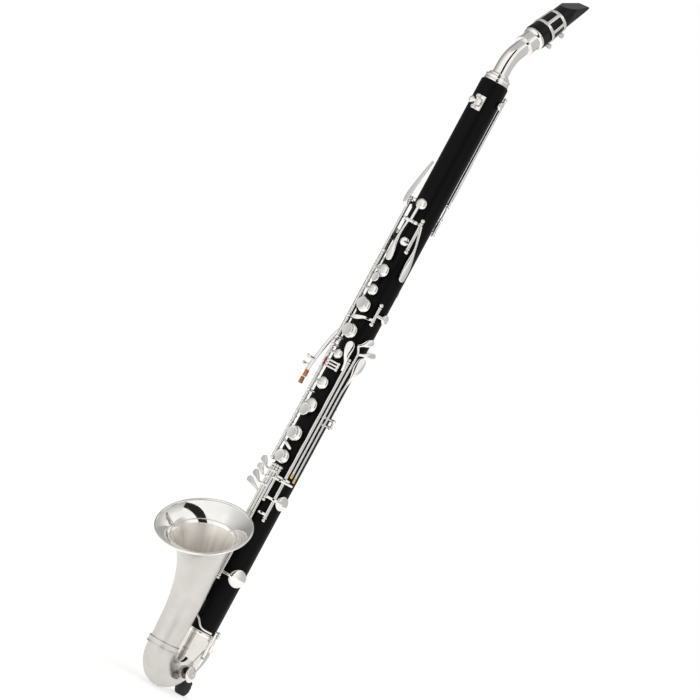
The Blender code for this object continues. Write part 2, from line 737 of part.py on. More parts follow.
STACK_BEARING = -34.0
STACK_REACH = BODY_RADIUS + 0.007
STACK_CUP_BEARING = 2.0
STACK_OPENING = -8.0
UPPER_POSTS = (0.515, 0.425, 0.396)
LOWER_POSTS = (0.385, 0.322, 0.228)
StackKey = namedtuple("StackKey", "name height radius low high plate_height plate_radius")
STACK_KEYS = (
    StackKey("lh1_key", 0.4925, 0.0086, 0.4820, 0.515, 0.4815, 0.0060),
    StackKey("lh_vent_key", 0.4660, 0.0074, 0.4565, 0.4820, None, None),
    StackKey("lh2_key", 0.4440, 0.0090, 0.425, 0.4565, 0.4460, 0.0082),
    StackKey("lh3_key", 0.4090, 0.0095, 0.396, 0.425, 0.4090, 0.0086),
    StackKey("small_trill_key", 0.3770, 0.0064, 0.3710, 0.385, None, None),
    StackKey("rh_vent_key", 0.3370, 0.0082, 0.322, 0.3530, None, None),
    StackKey("rh1_key", 0.3060, 0.0095, 0.2930, 0.322, 0.2990, 0.0084),
    StackKey("rh2_key", 0.2670, 0.0098, 0.2620, 0.2930, 0.2670, 0.0085),
    StackKey("rh3_key", 0.2350, 0.0090, 0.228, 0.2510, 0.2350, 0.0080),
)
PLATE_BEARING = -4.0


def make_stack_rods():
    for name, posts in (("upper_stack_rod", UPPER_POSTS), ("lower_stack_rod", LOWER_POSTS)):
        piece(name, fused(hinge_rod(STACK_BEARING, STACK_REACH, posts)), "steel_rod")


def stack_hinge(low, high):
    low, high = trimmed(low, high, UPPER_POSTS + LOWER_POSTS)
    solid, bore = tube(STACK_BEARING, STACK_REACH, low, high)
    return solid, bore, at(STACK_BEARING, STACK_REACH, low)


def make_stack_keys():
    for key in STACK_KEYS:
        solid, bore, pivot = stack_hinge(key.low, key.high)
        level = max(key.height, key.low + ARM_WIDTH * 1.5)
        solids = [solid, cup(STACK_CUP_BEARING, key.height, key.radius)]
        solids.append(arm(at(STACK_BEARING, STACK_REACH, level), STACK_CUP_BEARING, key.height))
        if key.plate_height:
            reach = SEAT_REACH + CUP_HEIGHT + TOUCH_THICKNESS * 0.6
            thickness = TOUCH_THICKNESS * 1.8
            solids.append(disc(PLATE_BEARING, reach, key.plate_height, key.plate_radius, thickness))
        piece(key.name, fused(solids, [bore]), "key_silver", pivot, UP, STACK_OPENING)


BRIDGE_LOW = 0.3530
BRIDGE_HIGH = 0.3710
BRIDGE_END = 26.0
SLIVER_LOW = 0.2510
SLIVER_HIGH = 0.2620
SLIVER_TIP = (15.0, 0.2470)


def make_bridge_key():
    """Three parallel bars that cross the front of the body, on the lower stack's rod."""
    solid, bore, pivot = stack_hinge(BRIDGE_LOW, BRIDGE_HIGH)
    middle = (BRIDGE_LOW + BRIDGE_HIGH) / 2
    solids = [solid]
    reach = STACK_REACH + 0.0006
    for offset in (-0.0040, 0, 0.0040):
        level = middle + offset
        solids.append(rod(at(STACK_BEARING, STACK_REACH, level), at(BRIDGE_END, reach, level), 0.0012))
    end = at(BRIDGE_END - 4, reach, middle)
    solids.append(bar(end - UP * 0.0055, end + UP * 0.0055, 0.0030, 0.0020, outward(BRIDGE_END)))
    piece("bridge_key", fused(solids, [bore]), "key_silver", pivot, UP)


def make_sliver_key():
    solid, bore, pivot = stack_hinge(SLIVER_LOW, SLIVER_HIGH)
    bearing, height = SLIVER_TIP
    root = at(STACK_BEARING + 1, STACK_REACH, (SLIVER_LOW + SLIVER_HIGH) / 2)
    tip = at(bearing, STACK_REACH, height)
    solids = [solid, leaf(root, tip, 0.0026, 0.0042, TOUCH_THICKNESS, outward(-10))]
    piece("sliver_key", fused(solids, [bore]), "key_silver", pivot, UP)


# Throat keys

THROAT_HEIGHT = 0.562
THROAT_BEARING = 2.0
THROAT_CUP_BEARING = 7.0
THROAT_HALF = 0.0085
THROAT_CUP_HEIGHT = 0.586
THROAT_CUP_RADIUS = 0.0072
THROAT_LEAF_ROOT = (-7.0, 0.5360)
THROAT_LEAF_TIP = (1.0, 0.5065)
SHARP_BEARING = 39.0
SHARP_POSTS = (0.568, 0.525)
SHARP_CUP = (18.0, 0.536, 0.0060)
SHARP_LEAF_TIP = (66.0, 0.4900)


def cross_rod(bearing, half, height, reach=HINGE_REACH):
    """A hinge rod across the body on two posts, which stand where the round body lets them."""
    across = sideways(bearing)
    middle = at(bearing, reach, height)
    solids = [rod(middle - across * half, middle + across * half, ROD_RADIUS)]
    foot = math.sqrt((BODY_RADIUS + FIT) ** 2 - (half - STEM_RADIUS) ** 2)
    for side in (-half, half):
        end = middle + across * side
        solids.append(rod(end + outward(bearing) * (foot - reach), end, STEM_RADIUS))
        solids.append(ball(end, BALL_RADIUS))
    return solids


def cross_tube(bearing, half, height, reach=HINGE_REACH):
    across = sideways(bearing)
    middle = at(bearing, reach, height)
    length = half - BALL_RADIUS - FIT
    solid = rod(middle - across * length, middle + across * length, TUBE_RADIUS, TUBE_SIDES)
    bore = rod(middle - across * half, middle + across * half, TUBE_BORE, ROD_SIDES)
    return solid, bore


def make_throat_keys():
    piece("throat_a_rod", fused(cross_rod(THROAT_BEARING, THROAT_HALF, THROAT_HEIGHT)), "steel_rod")
    solid, bore = cross_tube(THROAT_BEARING, THROAT_HALF, THROAT_HEIGHT)
    pivot = at(THROAT_BEARING, HINGE_REACH, THROAT_HEIGHT)
    bearing, height = THROAT_LEAF_ROOT
    root = at(bearing, BODY_RADIUS + 0.0062, height)
    bearing, height = THROAT_LEAF_TIP
    tip = at(bearing, BODY_RADIUS + 0.0068, height)
    start = at(THROAT_BEARING - 6, HINGE_REACH + 0.0006, THROAT_HEIGHT)
    solids = [
        solid,
        cup(THROAT_CUP_BEARING, THROAT_CUP_HEIGHT, THROAT_CUP_RADIUS),
        arm(pivot, THROAT_CUP_BEARING, THROAT_CUP_HEIGHT),
        bar(start, root - UP * 0.002, 0.0034, TOUCH_THICKNESS, outward(0)),
        leaf(root, tip, 0.0034, 0.0098, TOUCH_THICKNESS, outward(0)),
    ]
    piece("throat_a_key", fused(solids, [bore]), "key_silver", pivot, sideways(THROAT_BEARING))

    piece("throat_sharp_rod", fused(hinge_rod(SHARP_BEARING, HINGE_REACH, SHARP_POSTS)), "steel_rod")
    low, high = trimmed(SHARP_POSTS[1], SHARP_POSTS[0], SHARP_POSTS)
    solid, bore = tube(SHARP_BEARING, HINGE_REACH, low, high)
    bearing, height, radius = SHARP_CUP
    hinge = at(SHARP_BEARING, HINGE_REACH, height)
    tip_bearing, tip_height = SHARP_LEAF_TIP
    top = at(SHARP_BEARING + 4, HINGE_REACH + 0.001, high - 0.004)
    root = at(58, BODY_RADIUS + 0.0064, 0.5330)
    tip = at(tip_bearing, BODY_RADIUS + 0.0068, tip_height)
    solids = [
        solid,
        cup(bearing, height, radius),
        arm(hinge, bearing, height),
        bar(top, root, 0.0034, TOUCH_THICKNESS, outward(48)),
        leaf(root + UP * 0.0015, tip, 0.0034, 0.0088, TOUCH_THICKNESS, outward(62)),
    ]
    piece("throat_sharp_key", fused(solids, [bore]), "key_silver", at(SHARP_BEARING, HINGE_REACH, low), UP)


# The cross key between the left-hand plates

CROSS_BEARING = 50.0
CROSS_POSTS = (0.4535, 0.4275)
CROSS_CUP = (94.0, 0.440, 0.0066)
CROSS_LEAF_TIP = (-17.0, 0.4265)


def make_cross_key():
    piece("cross_key_rod", fused(hinge_rod(CROSS_BEARING, HINGE_REACH, CROSS_POSTS)), "steel_rod")
    low, high = trimmed(CROSS_POSTS[1], CROSS_POSTS[0], CROSS_POSTS)
    solid, bore = tube(CROSS_BEARING, HINGE_REACH, low, high)
    bearing, height, radius = CROSS_CUP
    middle = at(22, BODY_RADIUS + 0.0056, 0.4312)
    tip_bearing, tip_height = CROSS_LEAF_TIP
    tip = at(tip_bearing, BODY_RADIUS + 0.0080, tip_height)
    start = at(CROSS_BEARING, HINGE_REACH, low + 0.003)
    solids = [
        solid,
        cup(bearing, height, radius),
        arm(at(CROSS_BEARING, HINGE_REACH, height), bearing, height),
        bar(start, middle, 0.0032, TOUCH_THICKNESS, outward(36)),
        leaf(middle + sideways(22) * 0.0010, tip, 0.0030, 0.0052, TOUCH_THICKNESS, outward(5)),
    ]
    piece("cross_key", fused(solids, [bore]), "key_silver", at(CROSS_BEARING, HINGE_REACH, low), UP)


# Side trill keys on the player's right

SideKey = namedtuple("SideKey", "name bearing low high cup_height cup_radius")
SIDE_INNER = -64.0
SIDE_OUTER = -82.0
SIDE_CUP_BEARING = -104.0
SIDE_REACH = BODY_RADIUS + 0.0062
SIDE_FOOT = 0.390
SIDE_RUN = 0.105
SIDE_MIDDLE = SIDE_FOOT + SIDE_RUN
SIDE_TOP = SIDE_MIDDLE + 0.093
SIDE_SHORT_TOP = SIDE_MIDDLE + 0.050
SIDE_LOWER_TOP = SIDE_FOOT + 0.065
SIDE_POSTS = (
    (SIDE_INNER, (SIDE_TOP, SIDE_MIDDLE, SIDE_FOOT)),
    (SIDE_OUTER, (SIDE_SHORT_TOP, SIDE_MIDDLE)),
    (SIDE_OUTER, (SIDE_LOWER_TOP, SIDE_FOOT)),
)
SIDE_KEYS = (
    SideKey("side_key_1", SIDE_INNER, SIDE_MIDDLE, SIDE_TOP, SIDE_TOP - 0.003, 0.0088),
    SideKey("side_key_2", SIDE_OUTER, SIDE_MIDDLE, SIDE_SHORT_TOP, SIDE_SHORT_TOP - 0.008, 0.0088),
    SideKey("side_key_3", SIDE_INNER, SIDE_FOOT, SIDE_MIDDLE, SIDE_MIDDLE - 0.011, 0.0086),
    SideKey("side_key_4", SIDE_OUTER, SIDE_FOOT, SIDE_LOWER_TOP, SIDE_LOWER_TOP - 0.014, 0.0086),
)
SideLeaf = namedtuple("SideLeaf", "stem root tip root_width tip_width facing")
SIDE_LEAVES = {
    "side_key_1": SideLeaf(
        (SIDE_INNER, SIDE_REACH, SIDE_TOP - 0.013),
        (-60.0, BODY_RADIUS + 0.0120, SIDE_TOP - 0.006),
        (-56.0, BODY_RADIUS + 0.0036, SIDE_TOP + 0.052), 0.0082, 0.0030, -10.0),
    "side_key_2": SideLeaf(
        (SIDE_OUTER, SIDE_REACH, SIDE_MIDDLE + 0.009),
        (-80.0, BODY_RADIUS + 0.0058, SIDE_MIDDLE + 0.009),
        (-98.0, BODY_RADIUS + 0.0072, SIDE_MIDDLE + 0.0125), 0.0060, 0.0036, -80.0),
}
STRAP_ROUTES = {
    "side_key_3": (
        (SIDE_INNER, BODY_RADIUS + 0.0072, SIDE_FOOT + 0.015),
        (-62.0, BODY_RADIUS + 0.0120, SIDE_FOOT - 0.002),
        (-56.0, BODY_RADIUS + 0.0175, SIDE_FOOT - 0.036),
        (-55.0, BODY_RADIUS + 0.0182, SIDE_FOOT - 0.0485),
    ),
    "side_key_4": (
        (SIDE_OUTER, BODY_RADIUS + 0.0072, SIDE_FOOT + 0.015),
        (-78.0, BODY_RADIUS + 0.0130, SIDE_FOOT - 0.002),
        (-70.0, BODY_RADIUS + 0.0192, SIDE_FOOT - 0.038),
        (-68.0, BODY_RADIUS + 0.0198, SIDE_FOOT - 0.0585),
    ),
}
STRAP_FACING = 5.0
STRAP_WIDTH = 0.0046
STRAP_PEGS = {"side_key_3": SIDE_FOOT - 0.032, "side_key_4": SIDE_FOOT - 0.042}


def make_side_keys():
    solids = []
    for bearing, posts in SIDE_POSTS:
        solids += hinge_rod(bearing, SIDE_REACH, posts)
    solids += [saddle(SIDE_OUTER, SIDE_INNER, height) for height in (SIDE_FOOT, SIDE_MIDDLE)]
    piece("side_rods", fused(solids, solver="MANIFOLD"), "steel_rod")
    for key in SIDE_KEYS:
        low, high = trimmed(key.low, key.high, (key.low, key.high))
        solid, bore = tube(key.bearing, SIDE_REACH, low, high)
        level = min(key.cup_height, high - ARM_WIDTH)
        solids = [
            solid,
            cup(SIDE_CUP_BEARING, key.cup_height, key.cup_radius),
            arm(at(key.bearing, SIDE_REACH, level), SIDE_CUP_BEARING, key.cup_height),
        ]
        solids += side_touch(key.name)
        piece(key.name, fused(solids, [bore]), "key_silver", at(key.bearing, SIDE_REACH, low), UP)


def side_touch(name):
    """A side key's finger lever: a leaf by its own cup, or a long bowed strap with a peg."""
    if name in SIDE_LEAVES:
        touch = SIDE_LEAVES[name]
        out = outward(touch.facing)
        stem, root, tip = (at(*stop) for stop in (touch.stem, touch.root, touch.tip))
        stem_end = root + (tip - root).normalized() * 0.0015
        return [
            bar(stem, stem_end, 0.0034, TOUCH_THICKNESS, out),
            leaf(root, tip, touch.root_width, touch.tip_width, TOUCH_THICKNESS, out),
        ]
    points = [at(*stop) for stop in STRAP_ROUTES[name]]
    out = outward(STRAP_ROUTES[name][-1][0])
    face = outward(STRAP_FACING)
    solids = [bar(first - (second - first) * 0.06, second, STRAP_WIDTH, TOUCH_THICKNESS, face)
              for first, second in zip(points, points[1:])]
    peg = points[-2].lerp(points[-1], (points[-2].z - STRAP_PEGS[name]) / (points[-2].z - points[-1].z))
    solids.append(rod(peg - out * 0.0005, peg + out * 0.0100, 0.0019, ROD_SIDES, 0.0026))
    solids.append(bar(points[-1], points[-1] - UP * 0.0080, 0.0050, 0.0050, face))
    return solids


# Left little-finger levers

LONG_BEARING = 43.0
LONG_POSTS = (0.3765, 0.155)
LONG_FOOT_HEIGHT = 0.1625
LONG_BALL = 0.0022
LEVER_AXLES = {"lh_lever_2": 0.301, "lh_lever_3": 0.292}
LEVER_BEARINGS = {"lh_lever_2": 56.0, "lh_lever_3": 69.5}
LEVER_LOW = {"lh_lever_2": 0.2155, "lh_lever_3": 0.2115}
AXLE_BEARING = 74.0
AXLE_HALF = 0.0120
LEVER_RISE = 0.0056
AXLE_RISE = 0.0024
HUB_HALF = 0.0020


def make_long_lever():
    """The left little finger's rotating lever, its long tube running to an arm near the bell."""
    axle = hinge_rod(LONG_BEARING, HINGE_REACH, LONG_POSTS, head=LONG_BALL)
    piece("long_lever_rod", fused(axle), "steel_rod")
    low, high = trimmed(LONG_POSTS[1], LONG_POSTS[0], LONG_POSTS, LONG_BALL)
    solid, bore = tube(LONG_BEARING, HINGE_REACH, low, high, TUBE_RADIUS * 1.05)
    root = at(LONG_BEARING - 6, HINGE_REACH + 0.0012, high - 0.012)
    tip = at(24, BODY_RADIUS + 0.0088, 0.3985)
    foot = at(17, HINGE_REACH + 0.0030, LONG_FOOT_HEIGHT)
    solids = [
        solid,
        leaf(root, tip, 0.0032, 0.0110, TOUCH_THICKNESS, outward(34)),
        bar(at(LONG_BEARING, HINGE_REACH, LONG_FOOT_HEIGHT), foot, 0.0034, 0.0020, outward(30)),
    ]
    piece("lh_lever_1", fused(solids, [bore]), "key_silver", at(LONG_BEARING, HINGE_REACH, low), UP)


def lever_pivot(name):
    """Where a rocking lever's hub sits on its axle."""
    middle = at(AXLE_BEARING, BODY_RADIUS + AXLE_RISE, LEVER_AXLES[name])
    across = sideways(AXLE_BEARING)
    beside = at(LEVER_BEARINGS[name], BODY_RADIUS + AXLE_RISE, LEVER_AXLES[name]) - middle
    return middle + across * beside.dot(across)


def make_lever_axles():
    """Two axles across the body, each on a post at its outer end, the posts tied by a bar."""
    across = sideways(AXLE_BEARING)
    out = outward(AXLE_BEARING)
    foot = math.sqrt((BODY_RADIUS + FIT) ** 2 - (AXLE_HALF - STEM_RADIUS) ** 2)
    solids = []
    for name, height in LEVER_AXLES.items():
        end = at(AXLE_BEARING, BODY_RADIUS + AXLE_RISE, height) + across * AXLE_HALF
        solids.append(rod(lever_pivot(name) - across * (HUB_HALF + FIT), end, ROD_RADIUS))
        solids.append(rod(end + out * (foot - BODY_RADIUS - AXLE_RISE), end, STEM_RADIUS))
        solids.append(ball(end, BALL_RADIUS))
    heights = sorted(LEVER_AXLES.values())
    tie = at(AXLE_BEARING, BODY_RADIUS + AXLE_RISE, 0) + across * AXLE_HALF
    solids.append(bar(tie + UP * heights[0], tie + UP * heights[1], 0.0022, 0.0022, out))
    piece("lever_axles", fused(solids), "steel_rod")


LeverTop = namedtuple("LeverTop", "bend_bearing bend_height root_bearing root_height tip_bearing tip_height "
                                  "width facing")
LEVER_TOPS = {
    "lh_lever_2": LeverTop(55.5, 0.3890, 44.0, 0.3965, 80.0, 0.4100, 0.0082, 48.0),
    "lh_lever_3": LeverTop(70.0, 0.3500, 70.0, 0.3490, 76.0, 0.3865, 0.0120, 52.0),
}
LEVER_KNEE = 0.335
SECOND_LEAF = {"lh_lever_2": (100.0, BODY_RADIUS + 0.0145, 0.3955)}


def make_rocking_levers():
    """Two straight levers that rock on the axles, with finger leaves at the top."""
    make_lever_axles()
    across = sideways(AXLE_BEARING)
    reach = BODY_RADIUS + LEVER_RISE
    for name, height in LEVER_AXLES.items():
        bearing = LEVER_BEARINGS[name]
        top = LEVER_TOPS[name]
        bend = at(top.bend_bearing, reach + 0.0020, top.bend_height)
        root = at(top.root_bearing, reach + 0.0020, top.root_height)
        knee = at(bearing, reach, LEVER_KNEE)
        pivot = lever_pivot(name)
        bore = rod(pivot - across * HUB_HALF * 2, pivot + across * HUB_HALF * 2, TUBE_BORE, ROD_SIDES)
        solids = [
            rod(at(bearing, reach, LEVER_LOW[name]), knee + UP * 0.0010, 0.0015),
            rod(pivot - across * HUB_HALF, pivot + across * HUB_HALF, TUBE_RADIUS, TUBE_SIDES),
            bar(pivot, at(bearing, reach + 0.0005, height), 0.0030, 0.0024, UP),
            rod(knee, bend, 0.0015),
            leaf(root, at(top.tip_bearing, reach + 0.0040, top.tip_height), 0.0034, top.width,
                 TOUCH_THICKNESS, outward(top.facing)),
        ]
        if name in SECOND_LEAF:
            tip = at(*SECOND_LEAF[name])
            solids.append(bar(bend, root, 0.0030, TOUCH_THICKNESS, outward(top.facing)))
            fork = knee.lerp(bend, 0.97)
            solids.append(leaf(fork, tip, 0.0030, 0.0080, TOUCH_THICKNESS, outward(top.facing)))
        piece(name, fused(solids, [bore]), "key_silver", pivot, across)


# Right little-finger keys

LITTLE_TUBE = 0.0018
LITTLE_BALL = 0.0022
SADDLE_HEIGHT = 0.2215
LittleKey = namedtuple("LittleKey", "name bearing foot level tip_bearing tip_reach tip_height opening")
LITTLE_KEYS = (
    LittleKey("rh_key_1", 13.0, 0.178, 0.2145, -52.0, 0.0340, 0.2240, 0.0),
    LittleKey("rh_key_2", 2.0, 0.068, 0.1945, -56.0, 0.0350, 0.2040, 0.0),
    LittleKey("rh_key_3", -20.0, 0.014, 0.1830, -62.0, 0.0385, 0.1925, 0.0),
    LittleKey("rh_key_4", -9.0, 0.036, 0.2045, -50.0, 0.0325, 0.2140, 7.0),
)
LITTLE_LEAF_WIDTH = 0.0074
LITTLE_FACING = 10.0
LITTLE_CREST = HINGE_REACH + 0.0046
LITTLE_SIDE = -28.0
LittleCup = namedtuple("LittleCup", "bearing height radius crest")
LITTLE_CUPS = {
    "rh_key_1": LittleCup(76.0, 0.183, 0.0095, 0.0092),
    "rh_key_2": LittleCup(61.0, 0.077, 0.0118, 0.0058),
    "rh_key_4": LittleCup(-75.0, 0.043, 0.0095, 0.0092),
}
LINK_ARMS = {"rh_key_1": (56.0, 0.2110), "rh_key_2": (69.5, 0.2075)}


def crossing(stops, height, width, thickness):
    """Flat bars end to end over the hinge tubes, by (bearing, reach) stops."""
    points = [at(bearing, reach, height) for bearing, reach in stops]
    solids = []
    for (first, second), (stop, after) in zip(zip(points, points[1:]), zip(stops, stops[1:])):
        overlap = (second - first).normalized() * thickness * 0.4
        out = outward((stop[0] + after[0]) / 2)
        solids.append(bar(first - overlap, second + overlap, width, thickness, out))
    return solids


def make_little_rods():
    """Four hinge rods side by side, their top posts standing on one curved saddle."""
    bearings = [key.bearing for key in LITTLE_KEYS]
    solids = [saddle(min(bearings), max(bearings), SADDLE_HEIGHT)]
    for key in LITTLE_KEYS:
        solids += hinge_rod(key.bearing, HINGE_REACH, (SADDLE_HEIGHT, key.foot), head=LITTLE_BALL)
    piece("little_finger_rods", fused(solids), "steel_rod")


def make_little_keys():
    for key in LITTLE_KEYS:
        posts = (key.foot, SADDLE_HEIGHT)
        low, high = trimmed(key.foot, SADDLE_HEIGHT, posts, LITTLE_BALL)
        solid, bore = tube(key.bearing, HINGE_REACH, low, high, LITTLE_TUBE)
        solids = [solid]
        root = at(key.bearing, HINGE_REACH + 0.0008, key.level)
        if key.bearing > LITTLE_SIDE + 12:
            stops = ((key.bearing, HINGE_REACH + 0.0008), (key.bearing - 8, LITTLE_CREST),
                     (LITTLE_SIDE, LITTLE_CREST + 0.0006))
            solids += crossing(stops, key.level, 0.0026, 0.0016)
            root = at(LITTLE_SIDE + 2, LITTLE_CREST, key.level)
        tip = at(key.tip_bearing, key.tip_reach, key.tip_height)
        solids.append(leaf(root, tip, 0.0030, LITTLE_LEAF_WIDTH, TOUCH_THICKNESS, outward(LITTLE_FACING)))
        if key.name in LITTLE_CUPS:
            solids += little_cup(key)
        else:
            solids.append(lowest_wire(key.bearing, low))
        pivot = at(key.bearing, HINGE_REACH, low)
        piece(key.name, fused(solids, [bore]), "key_silver", pivot, UP, key.opening)


def lowest_wire(bearing, low):
    """The bent wire that works the lowest key from the outermost hinge tube."""
    start = (bearing, HINGE_REACH, low + 0.002)
    route = (start, (10, 0.0232, 0.0135), (32, 0.0226, 0.0042), (72, 0.0222, 0.0026))
    return swept([at(*stop) for stop in route], 0.0012, 8)


def little_cup(key):
    """A little-finger key's pad cup on its arm, and the link arm that a left-hand lever lifts."""
    pad = LITTLE_CUPS[key.name]
    side = math.copysign(1, pad.bearing - key.bearing)
    half_way = (key.bearing + pad.bearing) / 2 + 2 * side
    crest = BODY_RADIUS + pad.crest
    stops = ((key.bearing, HINGE_REACH), (key.bearing + 9 * side, crest - 0.0010), (half_way, crest))
    solids = [cup(pad.bearing, pad.height, pad.radius)]
    solids += crossing(stops, pad.height, ARM_WIDTH, ARM_THICKNESS)
    solids.append(arm(at(half_way - 2 * side, crest, pad.height), pad.bearing, pad.height))
    if key.name in LINK_ARMS:
        end, height = LINK_ARMS[key.name]
        stops = ((key.bearing, HINGE_REACH + 0.0008), (key.bearing + 9, LITTLE_CREST),
                 (key.bearing + 30, LITTLE_CREST + 0.0008), (end, LITTLE_CREST))
        solids += crossing(stops, height, 0.0026, 0.0016)
    return solids


# Lowest key on the bow

EB_BEARING = 112.0
EB_POSTS = (0.006, -0.030)
EB_OPENING = 14.0
EB_BALL = 0.0022
BUMPER_ANGLE = 92.0
BUMPER_TILT = 10.0
BUMPER_RADIUS = 0.0036
BUMPER_HEIGHT = 0.0050


def make_lowest_key():
    upper, lower = (at(EB_BEARING, HINGE_REACH, height) for height in EB_POSTS)
    solids = post(EB_BEARING, HINGE_REACH, EB_POSTS[0], head=EB_BALL)
    solids += post(EB_BEARING, HINGE_REACH, EB_POSTS[1], BOW_RADIUS, EB_BALL)
    solids.append(rod(lower, upper, ROD_RADIUS))
    piece("lowest_key_rod", fused(solids), "steel_rod")
    low, high = trimmed(EB_POSTS[1], EB_POSTS[0], EB_POSTS, EB_BALL)
    solid, bore = tube(EB_BEARING, HINGE_REACH, low, high)
    across = UP.cross(EB_OUT).normalized()
    axes = Matrix((across, EB_OUT.cross(across), EB_OUT)).transposed().to_4x4()
    seat = bow_point(EB_ANGLE) + EB_OUT * (EB_SEAT_REACH + FIT)
    centre = seat + EB_OUT * (CUP_HEIGHT - 0.0014)
    root = at(EB_BEARING - 4, HINGE_REACH + 0.0008, high - 0.012)
    tip = at(84, BODY_RADIUS + 0.0070, high - 0.002)
    solids = [
        solid,
        cup_solid(EB_CUP_RADIUS, Matrix.Translation(seat) @ axes),
        bar(at(EB_BEARING - 5, HINGE_REACH + 0.0008, low + 0.0070), centre, 0.0036, ARM_THICKNESS, EB_OUT),
        leaf(root, tip, 0.0040, 0.0070, TOUCH_THICKNESS, outward(98)),
    ]
    piece("lowest_key", fused(solids, [bore]), "key_silver", at(EB_BEARING, HINGE_REACH, low), UP, EB_OPENING)


def make_bumper():
    """The grey knob on the side of the bow's lowest stretch."""
    tilt = math.radians(BUMPER_TILT)
    middle = bow_point(BUMPER_ANGLE)
    inward = (bow_point(BUMPER_ANGLE, 0) - middle).normalized()
    out = BOW_SIDE * math.cos(tilt) + inward * math.sin(tilt)
    foot = middle + out * (BOW_RADIUS + FIT / 2)
    piece("bow_bumper", rod(foot, foot + out * BUMPER_HEIGHT, BUMPER_RADIUS, CUP_SIDES), "grey_felt")


# Register keys, strap ring and thumb rest at the back

REGISTER_BEARING = 149.0
REGISTER_POSTS = (BODY_LENGTH - 0.012, 0.598)
REGISTER_CUP = (98.0, BODY_LENGTH - 0.023, 0.0052)
REGISTER_TAIL = 172.0
THUMB_BEND = 178.0
THUMB_TIP = 185.0
THUMB_POSTS = (0.581, 0.560)
VENT_BEARING = 6.0
VENT_POSTS = (BODY_LENGTH - 0.0235, BODY_LENGTH - 0.0395)
VENT_CUP = (-16.0, BODY_LENGTH - 0.0315, 0.0045)
STRAP_HEIGHT = 0.475
STRAP_LOOP = 0.0055
STRAP_WIRE = 0.0016
REST_HEIGHT = 0.315


def make_register_keys():
    posts = REGISTER_POSTS + THUMB_POSTS
    piece("register_rod", fused(hinge_rod(REGISTER_BEARING, HINGE_REACH, posts)), "steel_rod")
    low, high = trimmed(REGISTER_POSTS[1], REGISTER_POSTS[0], REGISTER_POSTS)
    solid, bore = tube(REGISTER_BEARING, HINGE_REACH, low, high)
    bearing, height, radius = REGISTER_CUP
    lever_low = at(REGISTER_BEARING, HINGE_REACH + 0.0012, low + 0.004)
    lever_high = at(REGISTER_BEARING, HINGE_REACH + 0.0012, low + 0.060)
    tail_root = at(REGISTER_BEARING, HINGE_REACH, low + 0.002)
    tail = at(REGISTER_TAIL, BODY_RADIUS + 0.0060, low + 0.002)
    solids = [
        solid,
        cup(bearing, height, radius),
        arm(at(REGISTER_BEARING, HINGE_REACH, height), bearing, height),
        leaf(lever_high, lever_low, 0.0026, 0.0050, 0.0024, outward(REGISTER_BEARING)),
        bar(tail_root, tail, 0.0030, 0.0018, outward((REGISTER_BEARING + REGISTER_TAIL) / 2)),
    ]
    piece("register_key", fused(solids, [bore]), "key_silver", at(REGISTER_BEARING, HINGE_REACH, low), UP)
    low, high = trimmed(THUMB_POSTS[1], THUMB_POSTS[0], THUMB_POSTS)
    solid, bore = tube(REGISTER_BEARING, HINGE_REACH, low, high)
    middle = (low + high) / 2
    root = at(REGISTER_BEARING, HINGE_REACH + 0.0008, middle)
    bend = at(THUMB_BEND, BODY_RADIUS + 0.0062, middle)
    tip = at(THUMB_TIP, BODY_RADIUS + 0.0075, middle - 0.024)
    solids = [
        solid,
        bar(root, bend, 0.0050, 0.0020, outward((REGISTER_BEARING + THUMB_BEND) / 2)),
        leaf(bend - UP * 0.0015, tip, 0.0050, 0.0110, TOUCH_THICKNESS, outward(THUMB_BEND + 4)),
        bar(bend, at(THUMB_BEND, BODY_RADIUS + 0.0100, middle + 0.0330), 0.0034, 0.0018, outward(THUMB_BEND)),
    ]
    piece("thumb_key", fused(solids, [bore]), "key_silver", at(REGISTER_BEARING, HINGE_REACH, low), UP)


def make_vent_key():
    """The small vent on the front near the top, its hinge on two posts."""
    reach = BODY_RADIUS + 0.0034
    piece("vent_rod", fused(hinge_rod(VENT_BEARING, reach, VENT_POSTS, head=0.0022)), "steel_rod")
    low, high = trimmed(VENT_POSTS[1], VENT_POSTS[0], VENT_POSTS, 0.0022)
    solid, bore = tube(VENT_BEARING, reach, low, high, 0.0019)
    bearing, height, radius = VENT_CUP
    root = at(VENT_BEARING, reach, height)
    solids = [
        solid,
        cup(bearing, height, radius),
        arm(root, bearing, height),
        bar(root, at(26, reach + 0.0006, height), 0.0085, 0.0020, outward(14)),
    ]
    piece("vent_key", fused(solids, [bore]), "key_silver", at(VENT_BEARING, reach, low), UP)


def circle(count):
    turns = [2 * math.pi * step / count for step in range(count)]
    return [(math.cos(turn), math.sin(turn)) for turn in turns]


def make_back_fittings():
    """The strap ring's loop on its plate, and the hook that rests on the right thumb."""
    out = outward(180)
    shoe = facing(180, BODY_RADIUS + FIT + 0.0010, STRAP_HEIGHT)
    oval = [(0.0062 * x, 0.0120 * y) for x, y in circle(12)]
    loop_middle = at(180, BODY_RADIUS + 0.0022 + STRAP_LOOP, STRAP_HEIGHT)
    wire = [(STRAP_LOOP + STRAP_WIRE * x, -STRAP_WIRE * y) for x, y in circle(8)]
    upright = Matrix.Rotation(math.radians(90), 4, "Y")
    loop = turned(wire, 16, Matrix.Translation(loop_middle) @ upright, closed=True)
    piece("strap_ring", fused([plate(oval, 0.0020, shoe), loop]), "key_silver")
    rest = facing(180, BODY_RADIUS + FIT + 0.0010, REST_HEIGHT)
    hook_root = at(180, BODY_RADIUS + 0.0012, REST_HEIGHT)
    hook_tip = hook_root + out * 0.0115 - UP * 0.003
    solids = [
        plate([(x, y * 1.2) for x, y in oval], 0.0020, rest),
        leaf(hook_root, hook_tip, 0.0090, 0.0110, 0.0022, UP),
    ]
    piece("thumb_rest", fused(solids), "key_silver")


